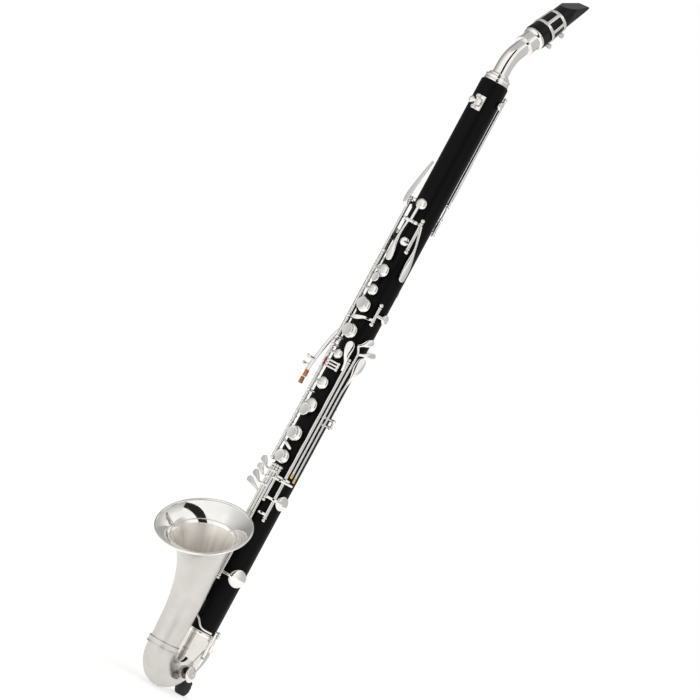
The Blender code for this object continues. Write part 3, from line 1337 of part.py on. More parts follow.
clear_scene()
instrument = bpy.data.collections.new("bass_clarinet")
bpy.context.scene.collection.children.link(instrument)
stand = bpy.data.objects.new("body_axis", None)
stand.location = (0, -PEG_BACK, PEG_FOOT_DROP)
instrument.objects.link(stand)

make_bow()
make_bell()
make_joint_ring()
make_peg()
make_neck()
make_mouthpiece()
make_ligature()
make_stack_rods()
make_stack_keys()
make_bridge_key()
make_sliver_key()
make_throat_keys()
make_cross_key()
make_side_keys()
make_long_lever()
make_rocking_levers()
make_little_rods()
make_little_keys()
make_lowest_key()
make_bumper()
make_register_keys()
make_vent_key()
make_back_fittings()
make_body()
bpy.context.view_layer.update()
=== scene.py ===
"""Dresses the packed low clarinet: black body, silver key work, bright bell and a soft pale studio.

Heights run up the body from its lower end. A bearing is the angle round the body from its front,
positive towards the player's left, and a reach is the distance from the body's axis. Every key is
drawn closed and then turned to its rest place about the hinge that the frame gives.
"""

import json
import math
from collections import namedtuple

import bmesh
import bpy
from bpy.props import FloatProperty, FloatVectorProperty, IntProperty, PointerProperty
from mathutils import Matrix, Vector


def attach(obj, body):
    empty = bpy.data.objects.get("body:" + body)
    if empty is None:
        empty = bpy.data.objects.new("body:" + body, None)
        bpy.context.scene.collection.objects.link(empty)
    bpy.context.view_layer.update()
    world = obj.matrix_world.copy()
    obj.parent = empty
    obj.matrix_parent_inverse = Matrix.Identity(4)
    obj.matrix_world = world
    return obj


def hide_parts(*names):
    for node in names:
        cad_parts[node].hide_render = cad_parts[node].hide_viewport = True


bl_info = {
    "name": "Low Clarinet",
    "version": (1, 0, 0),
    "blender": (4, 5, 0),
    "location": "View3D > Sidebar > Clarinet",
    "description": "Builds the visible pieces of a low clarinet on its packed frame",
    "category": "Object",
}

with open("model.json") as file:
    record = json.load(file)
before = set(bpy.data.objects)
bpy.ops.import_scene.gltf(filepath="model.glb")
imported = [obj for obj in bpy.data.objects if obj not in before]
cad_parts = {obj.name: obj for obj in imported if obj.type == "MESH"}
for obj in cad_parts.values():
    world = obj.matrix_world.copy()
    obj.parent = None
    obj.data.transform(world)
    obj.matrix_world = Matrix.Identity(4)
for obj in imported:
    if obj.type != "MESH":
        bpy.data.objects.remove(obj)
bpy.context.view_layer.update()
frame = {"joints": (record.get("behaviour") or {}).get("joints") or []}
HINGES = {joint["child"]: joint for joint in frame["joints"]}
BODY_FOOT = Vector((0, HINGES["neck"]["pos_m"][1], 0.084))
ROOT = "instrument_body"
UP = Vector((0, 0, 1))
LEFT = Vector((1, 0, 0))

# Sizes shared by neighbouring pieces
BODY_RADIUS = 0.018
BODY_LENGTH = 0.760
BORE_RADIUS = 0.0118
TENON = 0.018
SEAT_REACH = BODY_RADIUS + 0.001
HINGE_REACH = BODY_RADIUS + 0.0046
BOW_RADIUS = 0.0183
BOW_BEND = 0.029
BOW_STRAIGHT = 0.0357
BOW_RISE = 0.0027
BELL_STRAIGHT = 0.0325
BELL_BEND = 0.188
BELL_ANGLE = 39.0
BELL_MOUTH = 0.0590
BELL_WALL = 0.0012
BELL_FLARE = 0.88
BELL_RIM = 0.0016
NECK_FOOT = BODY_LENGTH + 0.0083
NECK_STRAIGHT = 0.0128
NECK_BEND = 0.044
NECK_ANGLE = 37.0
SLEEVE_LENGTH = 0.0215
NECK_REACH = 0.0125 + SLEEVE_LENGTH
PEG_BACK = -BODY_FOOT.y
BACK = 180.0
GAP = 0.0003

# Rest angles of the keys that stand open
PLATE_KEYS = (
    "lh1_key", "lh_vent_key", "lh2_key", "lh3_key", "small_trill_key", "rh_vent_key", "rh1_key", "rh2_key",
    "rh3_key",
)
OPENED = {**dict.fromkeys(PLATE_KEYS, -8.0), "lowest_key": 14.0, "rh_key_4": 7.0}


def length_property(name, text, default):
    return FloatProperty(name=name, description=text, default=default, unit="LENGTH")


def tint_property(name, text, *colour):
    return FloatVectorProperty(name=name, description=text, subtype="COLOR", default=colour)


class ClarinetSizes(bpy.types.PropertyGroup):
    """Sizes that give the key work its look."""

    ball_radius: length_property("Post Ball", "Radius of a hinge post's ball head", 0.0027)
    small_ball: length_property("Small Ball", "Radius of the heads on crowded posts", 0.0022)
    stem_radius: length_property("Post Stem", "Radius of a post at its head", 0.0013)
    rod_radius: length_property("Rod", "Radius of a hinge rod", 0.0010)
    tube_radius: length_property("Hinge Tube", "Outside radius of a hinge tube", 0.0021)
    cup_height: length_property("Cup Height", "Height of a pad cup over its pad's face", 0.0048)
    touch_thickness: length_property("Touch", "Thickness of a finger touch", 0.0016)
    round_sides: IntProperty(
        name="Round Sides", description="Sides of the large turned pieces", default=128, min=32, max=256)


class ClarinetColours(bpy.types.PropertyGroup):
    """Base colours of the finishes."""

    silver: tint_property("Key Silver", "Plated key work", 0.84, 0.82, 0.79)
    bell: tint_property("Bell Silver", "Satin bell and bow", 0.67, 0.65, 0.62)
    throat: tint_property("Bell Throat", "Dull inside of the bell", 0.92, 0.87, 0.82)
    black: tint_property("Body Black", "Satin body", 0.0030, 0.0030, 0.0032)
    ebonite: tint_property("Mouthpiece Black", "Polished mouthpiece", 0.008, 0.008, 0.009)
    cane: tint_property("Reed Cane", "Dry reed", 0.72, 0.55, 0.28)
    cork: tint_property("Cork", "Bumpers and joint cork", 0.50, 0.20, 0.07)
    felt: tint_property("Felt", "Red key felts", 0.30, 0.035, 0.02)
    grey_felt: tint_property("Grey Knob", "Knob on the bow", 0.26, 0.26, 0.25)
    pad: tint_property("Pad", "Leather pads", 0.055, 0.032, 0.022)
    brass: tint_property("Lever Tips", "Bare brass tips", 0.78, 0.55, 0.20)
    rubber: tint_property("Rubber", "Peg tip", 0.010, 0.010, 0.010)
    floor: tint_property("Floor", "Pale floor", 0.90, 0.90, 0.90)


def sizes():
    return bpy.context.scene.clarinet_sizes


def colour_of(name):
    return getattr(bpy.context.scene.clarinet_colours, name)


# Places

def outward(bearing):
    angle = math.radians(bearing)
    return Vector((math.sin(angle), -math.cos(angle), 0))


def sideways(bearing):
    angle = math.radians(bearing)
    return Vector((math.cos(angle), math.sin(angle), 0))


def at(bearing, reach, height):
    return outward(bearing) * reach + UP * height


def facing(bearing, reach, height):
    """A frame whose third axis points out of the body at a bearing, with its second axis up."""
    axes = Matrix((sideways(bearing), UP, outward(bearing))).transposed()
    return Matrix.Translation(at(bearing, reach, height)) @ axes.to_4x4()


def aimed(place, out):
    """A frame at a place with its third axis along a direction."""
    return Matrix.Translation(place) @ UP.rotation_difference(out).to_matrix().to_4x4()


def round_steps(count):
    return [math.tau * step / count for step in range(count)]


def circle(place, radius, height, sides):
    """A loop of points round the third axis of a place."""
    return [place @ Vector((radius * math.cos(a), radius * math.sin(a), height)) for a in round_steps(sides)]


def bead_profile(reach, radius, steps):
    """A round wire's section, at a reach from the axis that it goes round."""
    return [(reach + radius * math.cos(a), radius * math.sin(a)) for a in round_steps(steps)]


def wall_profile(outer, inner, low, high):
    return [(outer, low), (outer, high), (inner, high), (inner, low)]


def bent(points, count):
    """Points or numbers on a smooth curve through the given ones, count to each stretch."""
    ends = [points[0] * 2 - points[1], *points, points[-1] * 2 - points[-2]]
    run = []
    for first, second, third, fourth in zip(ends, ends[1:], ends[2:], ends[3:]):
        for step in range(count):
            t = step / count
            square = first * 2 - second * 5 + third * 4 - fourth
            cube = second * 3 - first - third * 3 + fourth
            run.append((second * 2 + (third - first) * t + square * t ** 2 + cube * t ** 3) * 0.5)
    run.append(points[-1])
    return run


def softened(profile, radius, ring=False):
    """A profile of (radius, height) points with its corners rounded off."""
    corners = [Vector(point) for point in profile]
    smooth = []
    for place, corner in enumerate(corners):
        if not ring and place in (0, len(corners) - 1):
            smooth.append(corner)
            continue
        before = corners[place - 1] - corner
        after = corners[(place + 1) % len(corners)] - corner
        start = corner + before.normalized() * min(radius, before.length * 0.45)
        end = corner + after.normalized() * min(radius, after.length * 0.45)
        for step in range(5):
            t = step / 4
            smooth.append(start * (1 - t) ** 2 + corner * 2 * t * (1 - t) + end * t ** 2)
    return [(point.x, point.y) for point in smooth]


# Finishes

NOISE_LOW, NOISE_HIGH = 0.3, 0.7


def set_inputs(tree, node, inputs):
    """Sets a node's inputs to values, or links them to the sockets of other nodes."""
    for label, value in inputs.items():
        if isinstance(value, bpy.types.NodeSocket):
            tree.links.new(value, node.inputs[label])
        else:
            node.inputs[label].default_value = value


def add_node(tree, kind, inputs, **settings):
    node = tree.nodes.new(kind)
    for label, value in settings.items():
        setattr(node, label, value)
    set_inputs(tree, node, inputs)
    return node


def blank_finish(name, inputs):
    material = bpy.data.materials.new(name)
    material.use_nodes = True
    shader = material.node_tree.nodes["Principled BSDF"]
    set_inputs(material.node_tree, shader, inputs)
    return material, material.node_tree, shader


def grain(tree, scale, detail, along=1.0, stretch=None, source=None):
    """Noise on the piece's own coordinates or on a named attribute, drawn out by its stretch."""
    if source:
        place = add_node(tree, "ShaderNodeAttribute", {}, attribute_name=source).outputs["Vector"]
    else:
        place = add_node(tree, "ShaderNodeTexCoord", {}).outputs["Object"]
    mapping = add_node(tree, "ShaderNodeMapping", {"Vector": place, "Scale": stretch or (1, 1, along)})
    vector = mapping.outputs["Vector"]
    noise = add_node(tree, "ShaderNodeTexNoise", {"Vector": vector, "Scale": scale, "Detail": detail})
    return noise.outputs["Fac"]


def spread(tree, value, low, high, lowest=NOISE_LOW, highest=NOISE_HIGH):
    """A value spread between two limits."""
    limits = {"From Min": lowest, "From Max": highest, "To Min": low, "To Max": high}
    return add_node(tree, "ShaderNodeMapRange", {"Value": value, **limits}).outputs["Result"]


def shade(colour, factor):
    return tuple(min(1.0, part * factor) for part in colour)


def tinted(tree, shader, value, colour, first, second):
    """Base colour that goes from one shade of a colour to another with a noise value."""
    ramp = add_node(tree, "ShaderNodeValToRGB", {"Fac": value})
    stops = ramp.color_ramp.elements
    for stop, place, factor in ((stops[0], NOISE_LOW, first), (stops[1], NOISE_HIGH, second)):
        stop.position = place
        stop.color = (*shade(colour, factor), 1)
    set_inputs(tree, shader, {"Base Color": ramp.outputs["Color"]})


def bumped(tree, shader, value, strength, distance):
    bump = add_node(tree, "ShaderNodeBump", {"Height": value, "Strength": strength, "Distance": distance})
    set_inputs(tree, shader, {"Normal": bump.outputs["Normal"]})


def plated(name, colour, factor, low, high, along, scratch):
    """Silver plate: a faint tone change, finger haze in its gloss and fine polishing marks."""
    material, tree, shader = blank_finish(name, {"Metallic": 1.0})
    tinted(tree, shader, grain(tree, 55, 2), shade(colour_of(colour), factor), 0.95, 1.04)
    set_inputs(tree, shader, {"Roughness": spread(tree, grain(tree, 140, 4, along), low, high)})
    bumped(tree, shader, grain(tree, 1800, 2, along), scratch, 0.00004)
    return material


def fibrous(name, colour, scale, along, contrast, rough, bump):
    """Cane, cork, felt, leather or rubber: mottled, dull and slightly uneven."""
    material, tree, shader = blank_finish(name, {})
    fleck = grain(tree, scale, 6, along)
    tinted(tree, shader, fleck, colour_of(colour), 1 - contrast, 1 + contrast)
    gloss = spread(tree, grain(tree, scale * 2.3, 3, along), rough - 0.08, rough + 0.06)
    set_inputs(tree, shader, {"Roughness": gloss})
    bumped(tree, shader, fleck, bump, 0.0004)
    return material


def make_throat(name):
    """The bell's dull inside, with long drawn stripes that run down the tube."""
    material, tree, shader = blank_finish(name, {"Metallic": 1.0})
    stripes = grain(tree, 1.0, 2, stretch=(5, 5, 0.8), source="flow")
    tinted(tree, shader, stripes, colour_of("throat"), 0.86, 1.12)
    set_inputs(tree, shader, {"Roughness": spread(tree, stripes, 0.34, 0.48)})
    bumped(tree, shader, stripes, 0.08, 0.0003)
    return material


def make_body_black(name):
    """Satin black body with a close grain along its length."""
    material, tree, shader = blank_finish(name, {"Specular IOR Level": 0.09})
    along = grain(tree, 260, 6, 0.06)
    tinted(tree, shader, along, colour_of("black"), 0.85, 1.2)
    set_inputs(tree, shader, {"Roughness": spread(tree, grain(tree, 420, 4, 0.1), 0.36, 0.46)})
    bumped(tree, shader, along, 0.05, 0.0001)
    return material


def make_ebonite(name):
    """Polished black of the mouthpiece, a little hazy."""
    material, tree, shader = blank_finish(name, {"Specular IOR Level": 0.16})
    tinted(tree, shader, grain(tree, 90, 3), colour_of("ebonite"), 0.8, 1.4)
    set_inputs(tree, shader, {"Roughness": spread(tree, grain(tree, 120, 4), 0.14, 0.24)})
    bumped(tree, shader, grain(tree, 900, 2), 0.01, 0.00003)
    return material


# Colour and its factor, roughness limits, stretch along the piece, depth of the marks
PLATED = {
    "key_silver": ("silver", 1.06, 0.04, 0.09, 1, 0.01),
    "plate_silver": ("silver", 1.12, 0.20, 0.26, 0.25, 0.01),
    "bell_satin": ("bell", 1.0, 0.30, 0.38, 0.12, 0.05),
    "bell_polish": ("silver", 1.1, 0.04, 0.08, 1, 0.006),
    "bow_polish": ("bell", 1.1, 0.05, 0.10, 1, 0.006),
    "steel": ("silver", 0.86, 0.16, 0.24, 0.1, 0.03),
    "brass": ("brass", 1.0, 0.18, 0.28, 1, 0.02),
}
# Scale of the flecks, stretch along the piece, contrast, roughness, depth of the flecks
FIBROUS = {
    "cane": (900, 0.05, 0.22, 0.55, 0.15),
    "cork": (520, 1, 0.45, 0.82, 0.5),
    "felt": (1500, 1, 0.30, 0.92, 0.5),
    "grey_felt": (1200, 1, 0.25, 0.85, 0.4),
    "pad": (700, 1, 0.35, 0.62, 0.35),
    "rubber": (800, 1, 0.25, 0.60, 0.2),
}
OTHER_FINISHES = {"throat": make_throat, "body_black": make_body_black, "ebonite": make_ebonite}


def finish(name):
    """The finish of that name, made when it is first asked for."""
    label = "dressed_" + name
    if label in bpy.data.materials:
        return bpy.data.materials[label]
    if name in PLATED:
        return plated(label, *PLATED[name])
    if name in FIBROUS:
        return fibrous(label, name, *FIBROUS[name])
    return OTHER_FINISHES[name](label)


# Shapes

class Shells:
    """The closed shells of one piece, gathered in one mesh, each with a finish of its own."""

    def __init__(self, node, slot="key_silver", body=None):
        self.node = node
        self.slot = slot
        self.body = body or (node if node in HINGES else ROOT)
        self.mesh = bmesh.new()
        self.finishes = []
        self.flow = self.mesh.verts.layers.float_vector.new("flow")

    def slot_of(self, name):
        if name not in self.finishes:
            self.finishes.append(name)
        return self.finishes.index(name)

    def cover(self, faces, name):
        for face in faces:
            face.material_index = self.slot_of(name)
            face.smooth = True

    def loft(self, loops, name, ring=False):
        """Skins a run of loops and closes its ends. A loop of one point makes a tip."""
        rows = [[self.mesh.verts.new(point) for point in loop] for loop in loops]
        pairs = list(zip(rows, rows[1:]))
        if ring:
            pairs.append((rows[-1], rows[0]))
        faces = []
        for first, second in pairs:
            for side in range(max(len(first), len(second))):
                after = side + 1
                corners = (first[side % len(first)], first[after % len(first)],
                           second[after % len(second)], second[side % len(second)])
                faces.append(self.mesh.faces.new(list(dict.fromkeys(corners))))
        if not ring:
            faces.extend(self.mesh.faces.new(row) for row in (rows[0], rows[-1]) if len(row) > 2)
        bmesh.ops.recalc_face_normals(self.mesh, faces=faces)
        self.cover(faces, name)
        return rows

    def turned(self, profile, place, name, sides, soft=0.0, ring=False):
        """Turns a profile of (radius, height) points about the third axis of a place."""
        if soft:
            profile = softened(profile, soft, ring)
        loops = [circle(place, radius, height, sides if radius > 1e-6 else 1) for radius, height in profile]
        return self.loft(loops, name, ring)

    def hoop(self, profile, place, name, sides, soft=0.0):
        return self.turned(profile, place, name, sides, soft, True)

    def blade(self, points, widths, thickness, out, dish=0.0, ends=(False, True), count=10,
              name="key_silver"):
        """A bar or leaf with soft edges along bent points. Its face looks along out, hollowed by dish."""
        outs = out if isinstance(out, list) else [out] * len(points)
        path = list(zip(bent(points, count), bent(widths, count), bent(outs, count)))
        reach = [0.0]
        for first, second in zip(path, path[1:]):
            reach.append(reach[-1] + (second[0] - first[0]).length)
        total = reach[-1]
        head, tail = (min(width / 2, total * 0.4) if rounded else 0.0
                      for width, rounded in zip((widths[0], widths[-1]), ends))
        stops = [head + (total - head - tail) * step / (2 * count) for step in range(2 * count + 1)]
        swell = [1.0] * len(stops)
        curve = [math.radians(angle) for angle in (88, 75, 60, 45, 30, 15)]
        if head:
            stops = [head * (1 - math.sin(angle)) for angle in curve] + stops
            swell = [math.cos(angle) for angle in curve] + swell
        if tail:
            stops += [total - tail * (1 - math.sin(angle)) for angle in reversed(curve)]
            swell += [math.cos(angle) for angle in reversed(curve)]
        loops = []
        place = 0
        for stop, full in zip(stops, swell):
            while place < len(reach) - 2 and reach[place + 1] < stop:
                place += 1
            first, second = path[place], path[place + 1]
            share = (stop - reach[place]) / max(reach[place + 1] - reach[place], 1e-9)
            centre, width, face = (a + (b - a) * share for a, b in zip(first, second))
            along = (second[0] - first[0]).normalized()
            side = along.cross(face).normalized()
            hollow = dish * full * (0.5 - 0.5 * math.cos(math.tau * min(1.0, stop / total)))
            depth = thickness * 0.5 * (0.6 + 0.4 * full)
            section = self.blade_section(width * 0.5 * full, depth, hollow)
            loops.append([centre + side * across + side.cross(along) * over for across, over in section])
        self.loft(loops, name)

    @staticmethod
    def blade_section(half, depth, hollow):
        """Points round a flat bar with soft edges and a hollow or crowned face."""
        section = []
        for step in range(20):
            angle = math.tau * (step + 0.5) / 20
            across = math.copysign(abs(math.cos(angle)) ** 0.55, math.cos(angle))
            over = math.copysign(abs(math.sin(angle)) ** 0.75, math.sin(angle)) * depth
            if over > 0:
                over -= hollow * (1 - across ** 2)
            section.append((across * half, over))
        return section

    def touch(self, points, widths, out, dish, ends=(False, True)):
        """A finger touch, or a bar as thin as one."""
        self.blade(points, widths, sizes().touch_thickness, out, dish, ends)

    def add(self, mesh, name):
        """Takes in a mesh that a node tree has made."""
        before = len(self.mesh.faces)
        self.mesh.from_mesh(mesh)
        self.mesh.faces.ensure_lookup_table()
        self.cover(self.mesh.faces[before:], name)
        bpy.data.meshes.remove(mesh)

    def show(self, sharp=38.0):
        """Puts the shells at their rest place as one piece that rides on a body in place of its CAD node."""
        rest = Matrix.Translation(BODY_FOOT)
        if self.body in OPENED:
            hinge = HINGES[self.body]
            pivot = Matrix.Translation(Vector(hinge["pos_m"]))
            turn = Matrix.Rotation(math.radians(OPENED[self.body]), 4, Vector(hinge["axis"]))
            rest = pivot @ turn @ pivot.inverted() @ rest
        name = "shown_" + self.node
        mesh = bpy.data.meshes.new(name)
        self.mesh.transform(rest)
        self.mesh.to_mesh(mesh)
        self.mesh.free()
        for label in self.finishes:
            mesh.materials.append(finish(label))
        mesh.set_sharp_from_angle(angle=math.radians(sharp))
        piece = bpy.data.objects.new(name, mesh)
        bpy.context.scene.collection.objects.link(piece)
        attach(piece, self.body)
        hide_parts(self.node)


# Node trees for what repeats or follows a path

def new_tree(name, inputs):
    """An empty geometry tree with named inputs, the sockets they come from and its end node."""
    tree = bpy.data.node_groups.new(name, "GeometryNodeTree")
    for label, kind in {"Geometry": "Geometry", **inputs}.items():
        tree.interface.new_socket(label, in_out="INPUT", socket_type="NodeSocket" + kind)
    tree.interface.new_socket("Geometry", in_out="OUTPUT", socket_type="NodeSocketGeometry")
    return tree, tree.nodes.new("NodeGroupInput").outputs, tree.nodes.new("NodeGroupOutput")


def finish_tree(tree, source, given, end):
    """Closes a tree with realised instances, smooth shading and its material."""
    real = add_node(tree, "GeometryNodeRealizeInstances", {"Geometry": source})
    smooth = add_node(tree, "GeometryNodeSetShadeSmooth", {"Geometry": real.outputs["Geometry"]})
    cover = add_node(tree, "GeometryNodeSetMaterial", {
        "Geometry": smooth.outputs["Geometry"], "Material": given["Finish"]})
    set_inputs(tree, end, {"Geometry": cover.outputs["Geometry"]})
    return tree


def bar_tree():
    """Round bars along the edges of the source mesh."""
    tree, given, end = new_tree("round_bar", {"Radius": "Float", "Sides": "Int", "Finish": "Material"})
    curve = add_node(tree, "GeometryNodeMeshToCurve", {"Mesh": given["Geometry"]})
    rim = add_node(tree, "GeometryNodeCurvePrimitiveCircle", {
        "Radius": given["Radius"], "Resolution": given["Sides"]})
    sweep = add_node(tree, "GeometryNodeCurveToMesh", {
        "Curve": curve.outputs["Curve"], "Profile Curve": rim.outputs["Curve"], "Fill Caps": True})
    return finish_tree(tree, sweep.outputs["Mesh"], given, end)


def post_tree():
    """A ball on a tapered stem at every point, along the point's own out direction."""
    tree, given, end = new_tree("ball_post", {"Ball": "Float", "Stem": "Float", "Finish": "Material"})
    attribute = "GeometryNodeInputNamedAttribute"
    out = add_node(tree, attribute, {"Name": "out"}, data_type="FLOAT_VECTOR").outputs["Attribute"]
    length = add_node(tree, attribute, {"Name": "length"}, data_type="FLOAT").outputs["Attribute"]
    turn = add_node(tree, "FunctionNodeAlignRotationToVector", {"Vector": out}, axis="Z")
    ball = add_node(tree, "GeometryNodeMeshUVSphere", {"Segments": 28, "Rings": 18, "Radius": given["Ball"]})
    wide = add_node(tree, "ShaderNodeMath", {0: given["Stem"], 1: 1.6}, operation="MULTIPLY")
    stem = add_node(tree, "GeometryNodeMeshCone", {
        "Vertices": 24, "Depth": 1.0, "Radius Top": given["Stem"], "Radius Bottom": wide.outputs["Value"]})
    lower = add_node(tree, "GeometryNodeTransform", {
        "Geometry": stem.outputs["Mesh"], "Translation": (0, 0, -1)})
    scale = add_node(tree, "ShaderNodeCombineXYZ", {"X": 1.0, "Y": 1.0, "Z": length})
    both = add_node(tree, "GeometryNodeJoinGeometry", {})
    stretched = {"Scale": scale.outputs["Vector"]}
    for shape, sized in ((ball.outputs["Mesh"], {}), (lower.outputs["Geometry"], stretched)):
        spots = add_node(tree, "GeometryNodeInstanceOnPoints", {
            "Points": given["Geometry"], "Instance": shape, "Rotation": turn.outputs["Rotation"], **sized})
        set_inputs(tree, both, {"Geometry": spots.outputs["Instances"]})
    return finish_tree(tree, both.outputs["Geometry"], given, end)


def grown(tree, source, values):
    """The plain mesh that a tree makes of a source mesh."""
    grower = bpy.data.objects.new("grower", source)
    bpy.context.scene.collection.objects.link(grower)
    modifier = grower.modifiers.new("grow", "NODES")
    modifier.node_group = tree
    for socket in tree.interface.items_tree:
        if socket.in_out == "INPUT" and socket.name in values:
            modifier[socket.identifier] = values[socket.name]
    graph = bpy.context.evaluated_depsgraph_get()
    mesh = bpy.data.meshes.new_from_object(grower.evaluated_get(graph), depsgraph=graph)
    grower.modifiers.remove(modifier)
    bpy.data.objects.remove(grower)
    bpy.data.meshes.remove(source)
    if not mesh.polygons:
        raise RuntimeError(f"{tree.name} made nothing")
    return mesh


def bar(shells, path, radius, name="key_silver", sides=20):
    """Adds a round bar along a path."""
    source = bpy.data.meshes.new("path")
    source.from_pydata(path, [(step, step + 1) for step in range(len(path) - 1)], [])
    tree = bpy.data.node_groups.get("round_bar") or bar_tree()
    shells.add(grown(tree, source, {"Radius": radius, "Sides": sides, "Finish": finish(name)}), name)


def rod(shells, *ends):
    bar(shells, ends, sizes().rod_radius, "steel", 24)


def posts(shells, places, ball=None):
    """Adds ball posts. A place is the ball's centre, its out direction and the post's length."""
    ball = ball or sizes().ball_radius
    source = bpy.data.meshes.new("posts")
    source.from_pydata([place for place, out, length in places], [], [])
    source.attributes.new("out", "FLOAT_VECTOR", "POINT")
    source.attributes.new("length", "FLOAT", "POINT")
    for number, (place, out, length) in enumerate(places):
        source.attributes["out"].data[number].vector = out
        source.attributes["length"].data[number].value = length
    tree = bpy.data.node_groups.get("ball_post") or post_tree()
    stem = sizes().stem_radius * ball / sizes().ball_radius
    values = {"Ball": ball, "Stem": stem, "Finish": finish("key_silver")}
    shells.add(grown(tree, source, values), "key_silver")


# Body, bow, bell and peg

# Bearing, height and radius of the pad cups that lie on the body
CUPS = {
    "lh1_key": (2.0, 0.4925, 0.0086), "lh_vent_key": (2.0, 0.4660, 0.0074), "lh2_key": (2.0, 0.4440, 0.0090),
    "lh3_key": (2.0, 0.4090, 0.0095), "small_trill_key": (2.0, 0.3770, 0.0064),
    "rh_vent_key": (2.0, 0.3370, 0.0082), "rh1_key": (2.0, 0.3060, 0.0095), "rh2_key": (2.0, 0.2670, 0.0098),
    "rh3_key": (2.0, 0.2350, 0.0090), "throat_a_key": (7.0, 0.586, 0.0072),
    "throat_sharp_key": (18.0, 0.536, 0.0060), "cross_key": (94.0, 0.440, 0.0066),
    "side_key_1": (-104.0, 0.585, 0.0088), "side_key_2": (-104.0, 0.537, 0.0088),
    "side_key_3": (-104.0, 0.484, 0.0086), "side_key_4": (-104.0, 0.441, 0.0086),
    "rh_key_1": (76.0, 0.183, 0.0095), "rh_key_2": (61.0, 0.077, 0.0118), "rh_key_4": (-75.0, 0.043, 0.0095),
    "register_key": (98.0, 0.737, 0.0052), "vent_key": (-16.0, 0.7285, 0.0045),
}
CUP_OVERHANG = 0.0014
SEAT_WALL = 0.0021
SEAT_DEPTH = 0.004
TENON_RADIUS = 0.0166


def build_body():
    """The turned tube with its raised tone-hole seats."""
    shells = Shells("body_tube", "black_body")
    tube = [(BODY_RADIUS, 0), (BODY_RADIUS, BODY_LENGTH), (BORE_RADIUS, BODY_LENGTH), (BORE_RADIUS, -TENON),
            (TENON_RADIUS, -TENON), (TENON_RADIUS, 0)]
    shells.hoop(tube, Matrix(), "body_black", sizes().round_sides, 0.0028)
    for bearing, height, cup in CUPS.values():
        radius = cup - CUP_OVERHANG
        rim = wall_profile(radius, radius - SEAT_WALL, -SEAT_DEPTH, 0)
        shells.hoop(rim, facing(bearing, SEAT_REACH, height), "body_black", 36, 0.0005)
    shells.show()


def bow_point(angle, reach=BOW_BEND):
    turn = math.radians(angle)
    return Vector((0, reach * math.cos(turn) - BOW_BEND, -BOW_STRAIGHT - reach * math.sin(turn)))


def bow_frame(angle):
    return Matrix.Translation(bow_point(angle)) @ Matrix.Rotation(math.radians(180 - angle), 4, "X")


def toward_side(angle, tilt):
    """The way out of the bow's side at an angle of its bend, tilted towards the bend's middle."""
    inward = (bow_point(angle, 0) - bow_point(angle)).normalized()
    return LEFT * math.cos(math.radians(tilt)) + inward * math.sin(math.radians(tilt))


BOW_STEPS = 48
BOW_WALL = 0.0013
POLISHED_ROWS = 16
LOWEST_ANGLE = 48.0
LOWEST_CUP = 0.0102
LOWEST_OUT = toward_side(LOWEST_ANGLE, 18.0)
KNOB_ANGLE = 92.0
BELL_FOOT = bow_point(180) + UP * BOW_RISE
BELL_RUN = BELL_STRAIGHT + BELL_BEND * math.radians(BELL_ANGLE)
BELL_STEPS = 56
THROAT_END = BELL_RUN * 0.885
THROAT_LIP = BELL_RUN * 0.915


def piped(shells, outside, wall, sides):
    """A hollow satin tube through the (place, radius) stations of its outside."""
    stations = outside + [(place, radius - wall) for place, radius in reversed(outside)]
    loops = [circle(place, radius, 0, sides) for place, radius in stations]
    return shells.loft(loops, "bell_satin", True)


def build_bow():
    """The U-shaped tube, the seat of the lowest tone hole on its side, and the knob under it."""
    shells = Shells("bow", "bell_silver")
    run = [Matrix.Rotation(math.pi, 4, "X")]
    run += [bow_frame(180 * step / BOW_STEPS) for step in range(BOW_STEPS + 1)]
    run.append(Matrix.Translation(UP * (BOW_RISE - GAP)) @ bow_frame(180))
    rows = piped(shells, [(place, BOW_RADIUS) for place in run], BOW_WALL, 96)
    leg = {vert for row in rows[:POLISHED_ROWS] for vert in row}
    for face in {face for vert in leg for face in vert.link_faces}:
        if leg.issuperset(face.verts):
            face.material_index = shells.slot_of("bow_polish")
    rim = wall_profile(0.0083, 0.0066, 0.0150, 0.0205)
    shells.hoop(rim, aimed(bow_point(LOWEST_ANGLE), LOWEST_OUT), "bell_satin", 40, 0.0005)
    outer, inner = BOW_RADIUS + 0.0001, BOW_RADIUS - 0.0004
    collar = [(outer, -0.0010), (0.0191, -0.0012), (0.0191, -0.0050), (outer, -0.0056), (inner, -0.0056),
              (inner, -0.0010)]
    shells.hoop(collar, Matrix(), "key_silver", 96, 0.0005)
    shells.show()
    out = toward_side(KNOB_ANGLE, 10)
    place = aimed(bow_point(KNOB_ANGLE) + out * (BOW_RADIUS + GAP / 2), out)
    knob = Shells("bow_bumper", "grey_felt")
    profile = [(0, 0), (0.0036, 0), (0.0034, 0.0042), (0.0022, 0.0050), (0, 0.0050)]
    knob.turned(profile, place, "grey_felt", 36, 0.0009)
    knob.show()


def bell_frame(distance):
    """A section of the bell, its third axis along the bent centre line."""
    angle = max(0.0, distance - BELL_STRAIGHT) / BELL_BEND
    height = min(distance, BELL_STRAIGHT) + BELL_BEND * math.sin(angle)
    middle = Vector((0, BELL_BEND * (math.cos(angle) - 1), height))
    return Matrix.Translation(BELL_FOOT + UP * GAP + middle) @ Matrix.Rotation(angle, 4, "X")


def bell_radius(distance):
    growth = (1 / (1 - BELL_FLARE * distance / BELL_RUN) - 1) / (1 / (1 - BELL_FLARE) - 1)
    return BOW_RADIUS + (BELL_MOUTH - BOW_RADIUS) * growth


